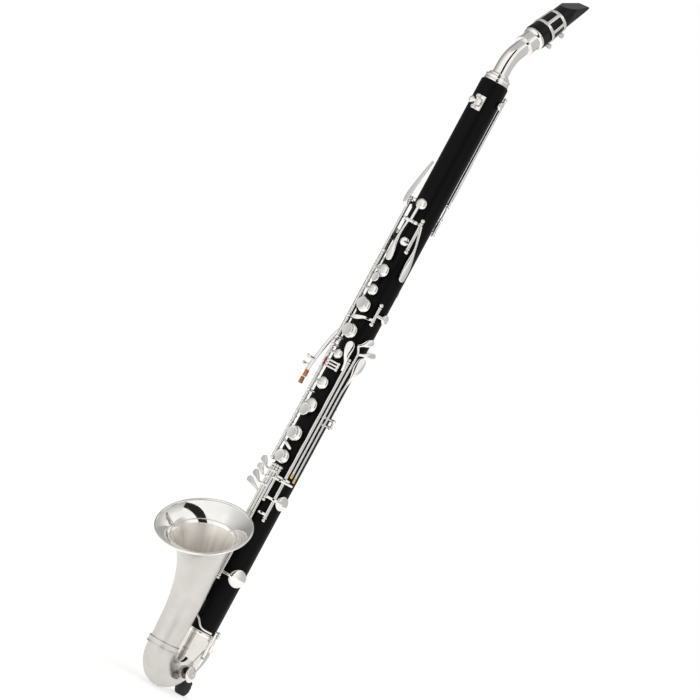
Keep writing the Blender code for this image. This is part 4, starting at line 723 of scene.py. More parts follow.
def build_bell():
    """The flared bell: satin outside, polished mouth, dull throat, rolled rim and banded joint ring."""
    shells = Shells("bell", "bell_silver")
    sides = sizes().round_sides
    runs = [BELL_RUN * (1 - (1 - step / BELL_STEPS) ** 1.7) for step in range(BELL_STEPS + 1)]
    rows = piped(shells, [(bell_frame(run), bell_radius(run)) for run in runs], BELL_WALL, sides)
    inside = list(zip(rows[len(runs):], reversed(runs)))
    for row, run in inside:
        for vert, angle in zip(row, round_steps(sides)):
            vert[shells.flow] = (math.cos(angle), math.sin(angle), run / BELL_RUN)
    for row, run in inside:
        label = "throat" if run < THROAT_END else "bell_polish"
        for face in {face for vert in row for face in vert.link_faces}:
            if all(vert[shells.flow].length > 0 for vert in face.verts):
                face.material_index = shells.slot_of(label)
    rim = bead_profile(BELL_MOUTH - 0.0004, BELL_RIM, 20)
    shells.hoop(rim, bell_frame(BELL_RUN), "bell_polish", sides)
    bead = bead_profile(bell_radius(THROAT_LIP) - BELL_WALL - 0.0001, 0.0007, 12)
    shells.hoop(bead, bell_frame(THROAT_LIP), "bell_polish", sides)
    shells.show()
    ring = Shells("bell_ring", "bell_silver")
    inner = BOW_RADIUS + GAP + 0.0004
    band = [(0.0010, 0.0045), (0.0015, 0.0040), (0.0015, 0.0028), (0.0010, 0.0023)]
    steps = band + [(rise, -height) for rise, height in reversed(band)] + [(0, -0.0045), (0, 0.0045)]
    profile = [(inner + rise, height) for rise, height in steps]
    ring.hoop(profile, Matrix.Translation(BELL_FOOT), "bell_satin", 96, 0.0005)
    ring.show()


def knurled(shells, place, radius, low, high):
    """A thumbscrew head with a milled edge and a domed end."""
    loops = []
    for share, height in ((0.80, low), (0.98, low + 0.0004), (1.0, low + 0.0008), (1.0, high - 0.0008),
                          (0.97, high - 0.0004), (0.72, high)):
        crest = circle(place, radius * share, height, 56)
        groove = circle(place, radius * share * 0.93, height, 56)
        loops.append([crest[side] if side % 2 else groove[side] for side in range(56)])
    shells.loft(loops, "key_silver")


def build_peg():
    """The floor peg with its rubber tip, the holder on the bow and the clamp screw."""
    back = Matrix.Translation(at(BACK, PEG_BACK, 0))
    holder = Shells("peg_holder")
    holder.hoop(wall_profile(0.0060, 0.0043, -0.034, -0.006), back, "key_silver", 48, 0.0005)
    out = facing(BACK, 0, -0.020)
    low, high = PEG_BACK + 0.0052, PEG_BACK + 0.009
    holder.hoop([(0.0024, low), (0.0040, low), (0.0034, high), (0.0024, high)], out, "key_silver", 32, 0.0003)
    holder.show()
    screw = Shells("peg_screw")
    tip, root = PEG_BACK + 0.0046, PEG_BACK + 0.0093
    screw.turned([(0, tip), (0.0017, tip), (0.0017, root + 0.001), (0, root + 0.001)], out, "steel", 24)
    knurled(screw, out, 0.0050, root, root + 0.005)
    screw.show()
    peg = Shells("peg", "steel_rod")
    shaft = [(0, -0.079), (0.0040, -0.079), (0.0040, 0.027), (0.0034, 0.028), (0, 0.028)]
    peg.turned(shaft, back, "steel", 40, 0.0006)
    peg.show()
    boot = Shells("peg_tip", "rubber", "peg")
    profile = [(0, -0.064), (0.0076, -0.064), (0.0092, -0.067), (0.0086, -0.0688), (0.0095, -0.0705),
               (0.0095, -0.077), (0.0078, -0.082), (0.0060, -0.084), (0, -0.084)]
    boot.turned(profile, back, "rubber", 56, 0.0012)
    boot.show()


# Neck, mouthpiece and ligature

LEAN = Matrix.Rotation(-math.radians(NECK_ANGLE), 4, "X")
NECK_STEPS = 30


def neck_path(low, reach):
    top = NECK_FOOT + NECK_STRAIGHT
    points = [UP * low]
    for step in range(NECK_STEPS + 1):
        angle = math.radians(NECK_ANGLE * step / NECK_STEPS)
        points.append(Vector((0, NECK_BEND * (1 - math.cos(angle)), top + NECK_BEND * math.sin(angle))))
    points.append(points[-1] + LEAN.to_3x3() @ UP * reach)
    return points


HEAD = Matrix.Translation(neck_path(0, NECK_REACH)[-1]) @ LEAN
MOUTHPIECE_LENGTH = 0.093
SHANK_LENGTH = 0.040
BEAK_START = 0.054
BEAK_LENGTH = MOUTHPIECE_LENGTH - BEAK_START
TABLE_START = 0.024
TABLE_REACH = 0.0100
REED_HALF = 0.0060
REED_THICKNESS = 0.0024
BAND_HALF = 0.0021
BANDS = {"lower": 0.016, "upper": 0.040}


def build_neck():
    """The ring on the body's top, the bent neck with its collar and sleeve, and the cork."""
    ring = Shells("neck_ring")
    profile = [(BORE_RADIUS, 0), (0.0163, 0), (0.0163, 0.0026), (0.0156, 0.0034), (0.0156, 0.0046),
               (0.0163, 0.0054), (0.0160, 0.0077), (BORE_RADIUS, 0.0077)]
    ring.hoop(profile, Matrix.Translation(UP * (BODY_LENGTH + GAP)), "key_silver", 96, 0.0006)
    ring.show()
    neck = Shells("neck", "bell_silver")
    bar(neck, neck_path(NECK_FOOT - 0.002, NECK_REACH - 0.004), 0.0102, "bell_polish", 72)
    tail = BODY_LENGTH - TENON
    collar = [(0, NECK_FOOT + 0.0044), (0.0106, NECK_FOOT + 0.0044), (0.0122, NECK_FOOT + 0.0030),
              (0.0138, NECK_FOOT + 0.0022), (0.0138, NECK_FOOT), (0.0114, NECK_FOOT), (0.0114, tail),
              (0, tail)]
    neck.turned(collar, Matrix(), "bell_polish", 72, 0.0007)
    sleeve = [(0, -GAP), (0.0152, -GAP), (0.0152, -0.0036), (0.0128, -0.0060), (0.0128, -0.0185),
              (0.0136, -0.0193), (0.0136, -SLEEVE_LENGTH), (0.0100, -SLEEVE_LENGTH), (0, -0.020)]
    neck.turned(sleeve, HEAD, "bell_polish", 80, 0.0009)
    spigot = [(0, -0.004), (0.0080, -0.004), (0.0080, 0.0165), (0.0068, 0.017), (0, 0.017)]
    neck.turned(spigot, HEAD, "bell_polish", 48)
    neck.show()
    cork = Shells("neck_cork", "cork", "neck")
    cork.hoop(wall_profile(0.0100, 0.0085, GAP, 0.017), HEAD, "cork", 48, 0.0006)
    cork.show()


def blank_radius(along):
    if along < SHANK_LENGTH:
        return 0.0162 - 0.0022 * along / SHANK_LENGTH
    return 0.0140 - 0.0010 * (along - SHANK_LENGTH) / (MOUTHPIECE_LENGTH - SHANK_LENGTH)


def mouthpiece_section(stop):
    """The outline of the mouthpiece at a distance from its foot: round, with a flat table and a flat beak."""
    start = blank_radius(BEAK_START)
    radius = blank_radius(stop) - 0.0008 * max(0.0, 1 - stop / 0.0012) ** 2
    top = TABLE_REACH if stop > TABLE_START else radius * 0.996
    share = (stop - BEAK_START) / BEAK_LENGTH
    beak = -start + (0.0078 + start) * share if share > 0 else -1
    low = max(beak, -radius * 0.996)
    first, last = math.asin(low / radius), math.asin(top / radius)
    arc = [first + (last - first) * step / 24 for step in range(25)]
    cheek = start + (0.0080 - start) * max(0.0, share)
    right = [(min(radius * math.cos(a), cheek), radius * math.sin(a)) for a in arc]
    left = [(-x, y) for x, y in reversed(right)]
    table = [(right[-1][0] * (1 - step / 4), top) for step in range(1, 8)]
    roof = [(left[-1][0] * (1 - step / 4), low) for step in range(1, 8)]
    return [HEAD @ Vector((x, y, stop)) for x, y in right + table + left + roof]


def reed_section(along):
    thick = REED_THICKNESS - 0.0020 * max(0.0, (along - BEAK_START) / BEAK_LENGTH) ** 0.8
    shares = [1 - side / 5 for side in range(11)]
    back = [(REED_HALF * share, thick * (1 - 0.35 * share ** 2)) for share in shares]
    face = [(-REED_HALF, 0), (REED_HALF, 0)]
    return [HEAD @ Vector((x, TABLE_REACH + GAP + rise, along)) for x, rise in face + back]


def build_mouthpiece():
    """The black mouthpiece with its beak and table, and the reed on the table."""
    shells = Shells("mouthpiece", "black_ebonite")
    stops = [0, 0.0006, 0.0012, 0.006, 0.012, 0.018, TABLE_START - 0.0002, TABLE_START + 0.0002]
    stops += [0.028 + 0.002 * step for step in range(33)] + [MOUTHPIECE_LENGTH - 0.0005, MOUTHPIECE_LENGTH]
    shells.loft([mouthpiece_section(stop) for stop in stops], "ebonite")
    shells.show(28)
    reed = Shells("reed", "cane", "mouthpiece")
    heel = TABLE_START + GAP
    stops = [heel + (MOUTHPIECE_LENGTH - heel) * step / 30 for step in range(31)]
    reed.loft([reed_section(stop) for stop in stops], "cane")
    reed.show()


def band_inner(along):
    corner = math.hypot(REED_HALF, TABLE_REACH + GAP + REED_THICKNESS)
    return max(corner if along > 0.0198 else 0, blank_radius(along - BAND_HALF)) + GAP


def build_ligature():
    """Two bands with their bridges and lugs, and the two thumbscrews."""
    shells = Shells("ligature", "key_silver", "mouthpiece")
    turn = HEAD.to_3x3()
    plate = {"name": "plate_silver"}
    for along in BANDS.values():
        inner = band_inner(along)
        outer = inner + 0.0009
        half = [(outer, along - 0.0017), (outer - 0.0002, along - BAND_HALF), (inner, along - BAND_HALF)]
        band = half[::-1] + [(radius, 2 * along - height) for radius, height in half]
        shells.hoop(band, HEAD, "plate_silver", 72, 0.0002)
        for side in (-0.0024, 0.0024):
            lug = [HEAD @ Vector((side, reach, along)) for reach in (outer - 0.0006, outer + 0.0059)]
            shells.blade(lug, [0.0038, 0.0038], 0.0018, turn @ LEFT, **plate)
    for angle in (-150, -100, 100, 150, 35, -35):
        out = Vector((math.sin(math.radians(angle)), math.cos(math.radians(angle)), 0))
        ends = [HEAD @ (out * (band_inner(along) + 0.00045) + UP * along) for along in BANDS.values()]
        shells.blade(ends, [0.0042, 0.0042], 0.0009, turn @ out, 0, (False, False), **plate)
    shells.show()
    for label, along in BANDS.items():
        screw = Shells("ligature_screw_" + label)
        centre = Matrix.Translation((0, band_inner(along) + 0.0048, along))
        place = HEAD @ centre @ Matrix.Rotation(math.pi / 2, 4, "Y")
        shaft = [(0, -0.0045), (0.0010, -0.0045), (0.0010, 0.0042), (0.0016, 0.0046), (0, 0.0046)]
        screw.turned(shaft, place, "steel", 20)
        knurled(screw, place, 0.0036, 0.0038, 0.0088)
        screw.show()


# Key work

STACK_BEARING = -34.0
STACK_REACH = BODY_RADIUS + 0.007
UPPER_POSTS = (0.515, 0.425, 0.396)
LOWER_POSTS = (0.385, 0.322, 0.228)
PLATE_BEARING = -4.0
PLATE_TOP = 0.0070
BEAD_SPACING = 0.0075
StackKey = namedtuple("StackKey", "name low high plate_height plate_radius", defaults=(None, None))
STACK_KEYS = (
    StackKey("lh1_key", 0.4820, 0.515, 0.4815, 0.0060),
    StackKey("lh_vent_key", 0.4565, 0.4820),
    StackKey("lh2_key", 0.425, 0.4565, 0.4460, 0.0082),
    StackKey("lh3_key", 0.396, 0.425, 0.4090, 0.0086),
    StackKey("small_trill_key", 0.3710, 0.385),
    StackKey("rh_vent_key", 0.322, 0.3530),
    StackKey("rh1_key", 0.2930, 0.322, 0.2990, 0.0084),
    StackKey("rh2_key", 0.2620, 0.2930, 0.2670, 0.0085),
    StackKey("rh3_key", 0.228, 0.2510, 0.2350, 0.0080),
)
BRIDGE_HEIGHT = 0.3620
LEAF_DISH = -0.0011
THROAT_BEARING = 2.0
THROAT_HEIGHT = 0.562
THROAT_HALF = 0.0085
ThroatKey = namedtuple("ThroatKey", "name rod bearing low high touch faces widths dish")
THROAT_KEYS = (
    ThroatKey("throat_sharp_key", "throat_sharp_rod", 39, 0.525, 0.568,
              ((42, HINGE_REACH + 0.0008, 0.561), (50, 0.0242, 0.548), (58, 0.0244, 0.532),
               (63, 0.0246, 0.510), (66, 0.0248, 0.490)),
              (44, 50, 57, 62, 64), [0.0036, 0.0032, 0.0034, 0.0092, 0.0080], LEAF_DISH),
    ThroatKey("cross_key", "cross_key_rod", 50, 0.4275, 0.4535,
              ((50, HINGE_REACH, 0.4335), (35, 0.0234, 0.4318), (20, 0.0240, 0.4312), (2, 0.0250, 0.4280),
               (-17, 0.0260, 0.4265)),
              (46, 36, 20, 5, -5), [0.0032, 0.0032, 0.0034, 0.0054, 0.0046], 0.0004),
)
SIDE_REACH = BODY_RADIUS + 0.0062
SIDE_LINES = ((-64, (0.588, 0.495, 0.390)), (-82, (0.545, 0.495)), (-82, (0.455, 0.390)))
SideKey = namedtuple("SideKey", "name bearing low high strap peg", defaults=((), None))
SIDE_KEYS = (
    SideKey("side_key_1", -64.0, 0.495, 0.588),
    SideKey("side_key_2", -82.0, 0.495, 0.545),
    SideKey("side_key_3", -64.0, 0.390, 0.495, (
        (-64, 0.0252, 0.405), (-62, 0.0300, 0.388), (-56, 0.0355, 0.354), (-55, 0.0362, 0.3415)), 0.358),
    SideKey("side_key_4", -82.0, 0.390, 0.455, (
        (-82, 0.0252, 0.405), (-78, 0.0310, 0.388), (-70, 0.0372, 0.352), (-68, 0.0378, 0.3315)), 0.348),
)
LONG_BEARING = 43.0
LONG_POSTS = (0.3765, 0.155)
AXLE_BEARING = 74.0
AXLE_REACH = BODY_RADIUS + 0.0024
AXLE_HALF = 0.0120
LEVER_REACH = BODY_RADIUS + 0.0056
RockingLever = namedtuple("RockingLever", "name axle bearing low bend root tip width face")
ROCKING_LEVERS = (
    RockingLever("lh_lever_2", 0.301, 56.0, 0.2155, (55.5, 0.389), (44, 0.3965), (80, 0.410), 0.0086, 48),
    RockingLever("lh_lever_3", 0.292, 69.5, 0.2115, (70, 0.350), (70, 0.349), (76, 0.3865), 0.0120, 52),
)
LITTLE_CREST = HINGE_REACH + 0.0046
LITTLE_SADDLE = 0.2215
LittleKey = namedtuple("LittleKey", "name bearing foot level tip cup_crest link", defaults=(None, None))
LITTLE_KEYS = (
    LittleKey("rh_key_1", 13.0, 0.178, 0.2145, (-52, 0.0340, 0.2240), 0.0272, (56, 0.2110)),
    LittleKey("rh_key_2", 2.0, 0.068, 0.1945, (-56, 0.0350, 0.2040), 0.0238, (69.5, 0.2075)),
    LittleKey("rh_key_3", -20.0, 0.014, 0.1830, (-62, 0.0385, 0.1925)),
    LittleKey("rh_key_4", -9.0, 0.036, 0.2045, (-50, 0.0325, 0.2140), 0.0272),
)
LOWEST_BEARING = 112.0
LOWEST_POSTS = ((0.006, BODY_RADIUS), (-0.030, BOW_RADIUS))
REGISTER_BEARING = 149.0
REGISTER_POSTS = (0.748, 0.598, 0.581, 0.560)
REGISTER_TAIL = 172.0
THUMB_BEND = 178.0
THUMB_TIP = 185.0
VENT_BEARING = 6.0
VENT_REACH = BODY_RADIUS + 0.0034
VENT_POSTS = (0.7365, 0.7205)
VENT_BAND = BODY_RADIUS + 0.0006
VENT_EDGE = 26.0
STRAP_HEIGHT = 0.475
THUMB_REST_HEIGHT = 0.315
ROUND_ENDS = (True, True)
FLAT_ENDS = (False, False)


def hinge_tube(shells, place, low, high, radius=None):
    """A hinge tube along the third axis of a place, with a turned collar at each end."""
    radius = radius or sizes().tube_radius
    lip = radius + 0.0005
    ends = min(0.0014, (high - low) * 0.2)
    profile = [(0, low), (lip, low), (lip, low + ends), (radius, low + ends + 0.0003),
               (radius, high - ends - 0.0003), (lip, high - ends), (lip, high), (0, high)]
    shells.turned(profile, place, "key_silver", 28, 0.0003)


def clear_tube(shells, bearing, reach, low, high, radius=None, ball=None, stops=None):
    """A hinge tube up the body, cleared of the post heads at its ends, or else of the next tube."""
    head = (ball or sizes().ball_radius) + GAP
    low += head if stops is None or low in stops else GAP / 2
    high -= head if stops is None or high in stops else GAP / 2
    hinge_tube(shells, Matrix.Translation(outward(bearing) * reach), low, high, radius)
    return low, high


def hinge_line(shells, bearing, reach, heights, ball=None):
    """A steel rod along the body through the heads of its posts."""
    rod(shells, at(bearing, reach, min(heights)), at(bearing, reach, max(heights)))
    out = outward(bearing)
    posts(shells, [(at(bearing, reach, height), out, reach - BODY_RADIUS) for height in heights], ball)


def build_rod(node, bearing, reach, heights, ball=None):
    shells = Shells(node, "steel_rod")
    hinge_line(shells, bearing, reach, heights, ball)
    shells.show()


def cross_foot(half):
    """How far out the round body's surface lies under a cross hinge's end posts."""
    return math.sqrt((BODY_RADIUS + GAP) ** 2 - (half - 0.0017) ** 2)


def curved_strip(shells, stops, reach, height, width, thickness, ends):
    """A strip that lies round the body at a height."""
    points = [at(stop, reach, height) for stop in stops]
    shells.blade(points, [width] * len(stops), thickness, [outward(stop) for stop in stops], 0, ends, 4)


def saddle(shells, first, last, height):
    """A curved foot plate on the body under a row of posts."""
    stops = [first + (last - first) * step / 8 for step in range(9)]
    curved_strip(shells, stops, BODY_RADIUS + 0.0014, height, 0.0044, 0.0016, ROUND_ENDS)


def pad_cup(shells, place, radius):
    """A domed cup with its leather pad, the pad's face at the place."""
    tall = sizes().cup_height
    dome = [(radius * share, tall - drop) for share, drop in (
        (0, 0), (0.30, 0.0001), (0.56, 0.0004), (0.76, 0.0009), (0.90, 0.0017), (0.98, 0.0026), (1, 0.0034))]
    dome += [(radius, 0.0013), (radius - 0.0005, 0.0009), (0, 0.0009)]
    shells.turned(dome, place, "key_silver", 48, 0.0006)
    edge = radius - 0.0006
    leather = [(0, 0.0016), (edge, 0.0016), (edge, 0.0004), (edge - 0.0005, 0), (0, 0)]
    shells.turned(leather, place, "pad", 48, 0.0004)


def body_cup(shells):
    """The key's cup on its tone hole."""
    bearing, height, radius = CUPS[shells.node]
    pad_cup(shells, facing(bearing, SEAT_REACH + GAP, height), radius)


def armed_cup(shells, start):
    """The key's cup, and an arm to it from a start on the hinge, ending in a point at the cup's middle."""
    body_cup(shells)
    bearing, height, radius = CUPS[shells.node]
    end = at(bearing, SEAT_REACH + sizes().cup_height + 0.0002, height)
    flat = end - start
    share = max(0.35, 1 - radius / max(flat.length, 1e-6))
    shoulder = start.lerp(end, share) + outward(bearing) * 0.0004
    tip = end + flat.normalized() * 0.0012
    shells.blade([start, shoulder, tip], [0.0036, 0.0036, 0.0016], 0.0019, outward(bearing))


def leaf(shells, root, tip, root_width, tip_width, out, lift=0.0):
    """A finger touch shaped like a drop, narrow at its root, with a crowned face."""
    points = [root, root.lerp(tip, 0.28) + out * lift, root.lerp(tip, 0.62) + out * lift, tip]
    widths = [root_width, root_width * 0.5 + tip_width * 0.28, tip_width, tip_width * 0.80]
    shells.touch(points, widths, out, LEAF_DISH)


def crossing(shells, stops, height, width, thickness):
    """A bar that steps over the hinge tubes, by (bearing, reach) stops."""
    points = [at(bearing, reach, height) for bearing, reach in stops]
    outs = [outward(bearing) for bearing, reach in stops]
    shells.blade(points, [width] * len(points), thickness, outs, count=8)


def finger_plate(shells, height, radius):
    """A round finger plate with a soft edge and a slightly hollow top."""
    profile = [(0, -0.0036), (radius - 0.0024, -0.0036), (radius - 0.0018, -0.0020),
               (radius - 0.0002, -0.0016), (radius, -0.0007), (radius - 0.0007, 0), (radius * 0.72, -0.0003),
               (radius * 0.35, -0.0005), (0, -0.0006)]
    place = facing(PLATE_BEARING, SEAT_REACH + PLATE_TOP, height)
    shells.turned(profile, place, "plate_silver", 52, 0.0004)


def stack_tube(shells, low, high):
    """A beaded tube on the stack's hinge line."""
    low, high = clear_tube(shells, STACK_BEARING, STACK_REACH, low, high, stops=UPPER_POSTS + LOWER_POSTS)
    bead = [(0, -0.0010), (0.0022, -0.0010), (0.0029, -0.0004), (0.0029, 0.0004), (0.0022, 0.0010),
            (0, 0.0010)]
    count = int((high - low) / BEAD_SPACING)
    for step in range(1, count):
        place = Matrix.Translation(at(STACK_BEARING, STACK_REACH, low + (high - low) * step / count))
        shells.turned(bead, place, "key_silver", 28, 0.0003)


def build_stack_keys():
    """The nine cups of the two finger stacks, six of them with finger plates, and their rods."""
    build_rod("upper_stack_rod", STACK_BEARING, STACK_REACH, UPPER_POSTS)
    build_rod("lower_stack_rod", STACK_BEARING, STACK_REACH, LOWER_POSTS)
    for key in STACK_KEYS:
        shells = Shells(key.name)
        stack_tube(shells, key.low, key.high)
        level = max(CUPS[key.name][1], key.low + 0.0051)
        armed_cup(shells, at(STACK_BEARING, STACK_REACH, level))
        if key.plate_height:
            finger_plate(shells, key.plate_height, key.plate_radius)
        shells.show()


def build_bridge():
    """The three-bar bridge and the sliver touch on the lower stack's rod."""
    shells = Shells("bridge_key")
    stack_tube(shells, 0.3530, 0.3710)
    reach = STACK_REACH + 0.0006
    for offset in (-0.0040, 0, 0.0040):
        stops = [(STACK_BEARING, STACK_REACH), (-14, reach), (6, reach), (26, reach)]
        bar(shells, bent([at(*stop, BRIDGE_HEIGHT + offset) for stop in stops], 8), 0.0012)
    for bearing, face, half, width, thickness, name in (
            (22, 26, 0.0058, 0.0032, 0.0022, "key_silver"), (-27, -27, 0.0060, 0.0030, 0.0027, "felt")):
        ends = [at(bearing, reach, BRIDGE_HEIGHT + side) for side in (-half, half)]
        shells.blade(ends, [width, width], thickness, outward(face), 0, ROUND_ENDS, name=name)
    shells.show()
    shells = Shells("sliver_key")
    stack_tube(shells, 0.2510, 0.2620)
    root, tip = at(STACK_BEARING + 1, STACK_REACH, 0.2565), at(15, STACK_REACH, 0.2470)
    leaf(shells, root, tip, 0.0026, 0.0044, outward(-10), 0.0012)
    shells.show()


def build_throat():
    """The throat A key across the front, the throat sharp key beside it and the cross key below."""
    middle = at(THROAT_BEARING, HINGE_REACH, THROAT_HEIGHT)
    across = sideways(THROAT_BEARING)
    ends = [middle + across * side for side in (-THROAT_HALF, THROAT_HALF)]
    shells = Shells("throat_a_rod", "steel_rod")
    rod(shells, *ends)
    posts(shells, [(end, outward(THROAT_BEARING), HINGE_REACH - cross_foot(THROAT_HALF)) for end in ends])
    shells.show()
    shells = Shells("throat_a_key")
    length = THROAT_HALF - sizes().ball_radius - GAP
    hinge_tube(shells, aimed(middle, across), -length, length)
    armed_cup(shells, middle)
    points = [at(-4, HINGE_REACH + 0.0006, THROAT_HEIGHT), at(-7, 0.0240, 0.545), at(-6, 0.0243, 0.530),
              at(-2, 0.0246, 0.516), at(1, 0.0248, 0.5065)]
    shells.touch(points, [0.0036, 0.0034, 0.0056, 0.0100, 0.0084], outward(0), LEAF_DISH)
    shells.show()
    for key in THROAT_KEYS:
        build_rod(key.rod, key.bearing, HINGE_REACH, (key.high, key.low))
        shells = Shells(key.name)
        clear_tube(shells, key.bearing, HINGE_REACH, key.low, key.high)
        armed_cup(shells, at(key.bearing, HINGE_REACH, CUPS[key.name][1]))
        faces = [outward(bearing) for bearing in key.faces]
        shells.touch([at(*stop) for stop in key.touch], key.widths, faces, key.dish)
        shells.show()


def side_strap(shells, key):
    """A long bowed strap with a peg on it and a cork under its end."""
    points = [at(*stop) for stop in key.strap]
    face = outward(5)
    shells.touch(points, [0.0042, 0.0044, 0.0048, 0.0046], face, 0, ROUND_ENDS)
    peg = points[2].lerp(points[3], (points[2].z - key.peg) / (points[2].z - points[3].z))
    knob = [(0, -0.0005), (0.0019, -0.0005), (0.0017, 0.0050), (0.0024, 0.0082), (0.0026, 0.0094),
            (0.0020, 0.0100), (0, 0.0100)]
    shells.turned(knob, aimed(peg, outward(key.strap[-1][0])), "key_silver", 28, 0.0006)
    block = [points[3] + UP * 0.0006, points[3] - UP * 0.0080]
    shells.blade(block, [0.0050, 0.0050], 0.0048, face, 0, FLAT_ENDS, name="cork")


def build_side_keys():
    """Four side keys on the player's right: two with leaves, two with long bowed straps."""
    shells = Shells("side_rods", "steel_rod")
    for bearing, heights in SIDE_LINES:
        hinge_line(shells, bearing, SIDE_REACH, heights)
    for height in (0.390, 0.495):
        saddle(shells, -87, -59, height)
    shells.show()
    for key in SIDE_KEYS:
        shells = Shells(key.name)
        high = clear_tube(shells, key.bearing, SIDE_REACH, key.low, key.high)[1]
        armed_cup(shells, at(key.bearing, SIDE_REACH, min(CUPS[key.name][1], high - 0.0034)))
        if key.strap:
            side_strap(shells, key)
        elif key.name == "side_key_1":
            points = [at(-64, SIDE_REACH, 0.574), at(-61, 0.0286, 0.580), at(-59, 0.0290, 0.592),
                      at(-57, 0.0254, 0.618), at(-56, 0.0216, 0.640)]
            shells.touch(points, [0.0036, 0.0072, 0.0080, 0.0055, 0.0030], outward(-10), 0.0003)
        else:
            root, tip = at(-80, 0.0238, 0.504), at(-98, 0.0252, 0.5075)
            leaf(shells, root, tip, 0.0050, 0.0044, outward(-84))
        shells.show()


def lever_hub(lever):
    """Where a rocking lever sits on its axle."""
    middle = at(AXLE_BEARING, AXLE_REACH, lever.axle)
    across = sideways(AXLE_BEARING)
    return middle + across * (at(lever.bearing, AXLE_REACH, lever.axle) - middle).dot(across)


def build_left_levers():
    """The left little finger's turning lever on its long tube and the two rocking levers."""
    ball = sizes().small_ball
    build_rod("long_lever_rod", LONG_BEARING, HINGE_REACH, LONG_POSTS, ball)
    shells = Shells("lh_lever_1")
    high = clear_tube(shells, LONG_BEARING, HINGE_REACH, LONG_POSTS[1], LONG_POSTS[0], 0.0022, ball)[1]
    points = [at(38, 0.0236, high - 0.013), at(35, 0.0247, 0.371), at(29, 0.0258, 0.381),
              at(26, 0.0264, 0.390), at(24, 0.0268, 0.3985)]
    shells.touch(points, [0.0034, 0.0036, 0.0080, 0.0112, 0.0092], outward(24), LEAF_DISH)
    crossing(shells, ((LONG_BEARING, HINGE_REACH), (30, 0.0246), (17, 0.0256)), 0.1625, 0.0034, 0.0020)
    shells.show()

    across, out = sideways(AXLE_BEARING), outward(AXLE_BEARING)
    shells = Shells("lever_axles", "steel_rod")
    ends = [at(AXLE_BEARING, AXLE_REACH, lever.axle) + across * AXLE_HALF for lever in ROCKING_LEVERS]
    for lever, end in zip(ROCKING_LEVERS, ends):
        rod(shells, lever_hub(lever) - across * 0.0023, end)
    posts(shells, [(end, out, AXLE_REACH - cross_foot(AXLE_HALF)) for end in ends])
    shells.blade(ends, [0.0022, 0.0022], 0.0022, out, 0, FLAT_ENDS)
    shells.show()
    for lever in ROCKING_LEVERS:
        build_rocking_lever(lever, across)


def build_rocking_lever(lever, across):
    """A bar that rocks on a cross axle, with a brass tip below and one or two leaves above."""
    shells = Shells(lever.name)
    bearing, face = lever.bearing, outward(lever.face)
    bend, root = (at(spot[0], LEVER_REACH + 0.0020, spot[1]) for spot in (lever.bend, lever.root))
    hub = lever_hub(lever)
    hinge_tube(shells, aimed(hub, across), -0.0020, 0.0020)
    shells.blade([hub, at(bearing, LEVER_REACH + 0.0005, lever.axle)], [0.0034, 0.0030], 0.0026, UP)
    line = [at(bearing, LEVER_REACH, height) for height in (lever.low + 0.004, 0.333, 0.337)]
    bar(shells, line + [bend], 0.0015)
    cap = [(0, 0), (0.0012, 0), (0.0018, 0.0010), (0.0018, 0.0056), (0.0014, 0.0066), (0, 0.0066)]
    shells.turned(cap, Matrix.Translation(at(bearing, LEVER_REACH, lever.low)), "brass", 24, 0.0004)
    tip = at(lever.tip[0], LEVER_REACH + 0.0040, lever.tip[1])
    leaf(shells, root, tip, 0.0034, lever.width, face, 0.0006)
    if lever.name == "lh_lever_2":
        link = [bend - UP * 0.0015, bend.lerp(root, 0.5) + UP * 0.0004, root + UP * 0.0004]
        shells.touch(link, [0.0028, 0.0028, 0.0030], face, 0)
        low = at(bearing, LEVER_REACH, 0.335).lerp(bend, 0.97)
        leaf(shells, low, at(100, 0.0325, 0.3955), 0.0030, 0.0082, face, 0.0004)
    shells.show()


def build_right_keys():
    """The right little finger's four keys on their four parallel hinge rods."""
    ball = sizes().small_ball
    shells = Shells("little_finger_rods", "steel_rod")
    saddle(shells, -25, 18, LITTLE_SADDLE)
    for key in LITTLE_KEYS:
        hinge_line(shells, key.bearing, HINGE_REACH, (LITTLE_SADDLE, key.foot), ball)
    shells.show()
    for key in LITTLE_KEYS:
        shells = Shells(key.name)
        low = clear_tube(shells, key.bearing, HINGE_REACH, key.foot, LITTLE_SADDLE, 0.0018, ball)[0]
        stops = [(key.bearing, HINGE_REACH + 0.0008, key.bearing, 0.0028)]
        if key.bearing > -16:
            stops.append((key.bearing - 8, LITTLE_CREST, key.bearing - 8, 0.0026))
            stops.append((-26, LITTLE_CREST + 0.0004, -24, 0.0032))
        points = [at(bearing, reach, key.level) for bearing, reach, face, width in stops]
        root, tip = points[-1], at(*key.tip)
        points += [root.lerp(tip, 0.40), root.lerp(tip, 0.75), tip]
        outs = [outward(face) for bearing, reach, face, width in stops] + [outward(10)] * 3
        widths = [width for bearing, reach, face, width in stops] + [0.0062, 0.0090, 0.0082]
        shells.touch(points, widths, outs, LEAF_DISH)
        if key.cup_crest:
            body_cup(shells)
            bearing, height = CUPS[key.name][:2]
            side = math.copysign(1, bearing - key.bearing)
            half_way = (key.bearing + bearing) / 2 + 2 * side
            stops = ((key.bearing, HINGE_REACH), (key.bearing + 9 * side, key.cup_crest - 0.0010),
                     (half_way, key.cup_crest), (bearing, SEAT_REACH + sizes().cup_height))
            crossing(shells, stops, height, 0.0036, 0.0020)
        else:
            stops = ((key.bearing, HINGE_REACH, low + 0.002), (10, 0.0232, 0.0135), (32, 0.0226, 0.0042),
                     (72, 0.0222, 0.0026))
            bar(shells, bent([at(*stop) for stop in stops], 10), 0.0012)
        if key.link:
            end, height = key.link
            stops = ((key.bearing, HINGE_REACH + 0.0008), (key.bearing + 9, LITTLE_CREST),
                     (key.bearing + 30, LITTLE_CREST + 0.0008), (end, LITTLE_CREST))
            crossing(shells, stops, height, 0.0028, 0.0016)
        shells.show()


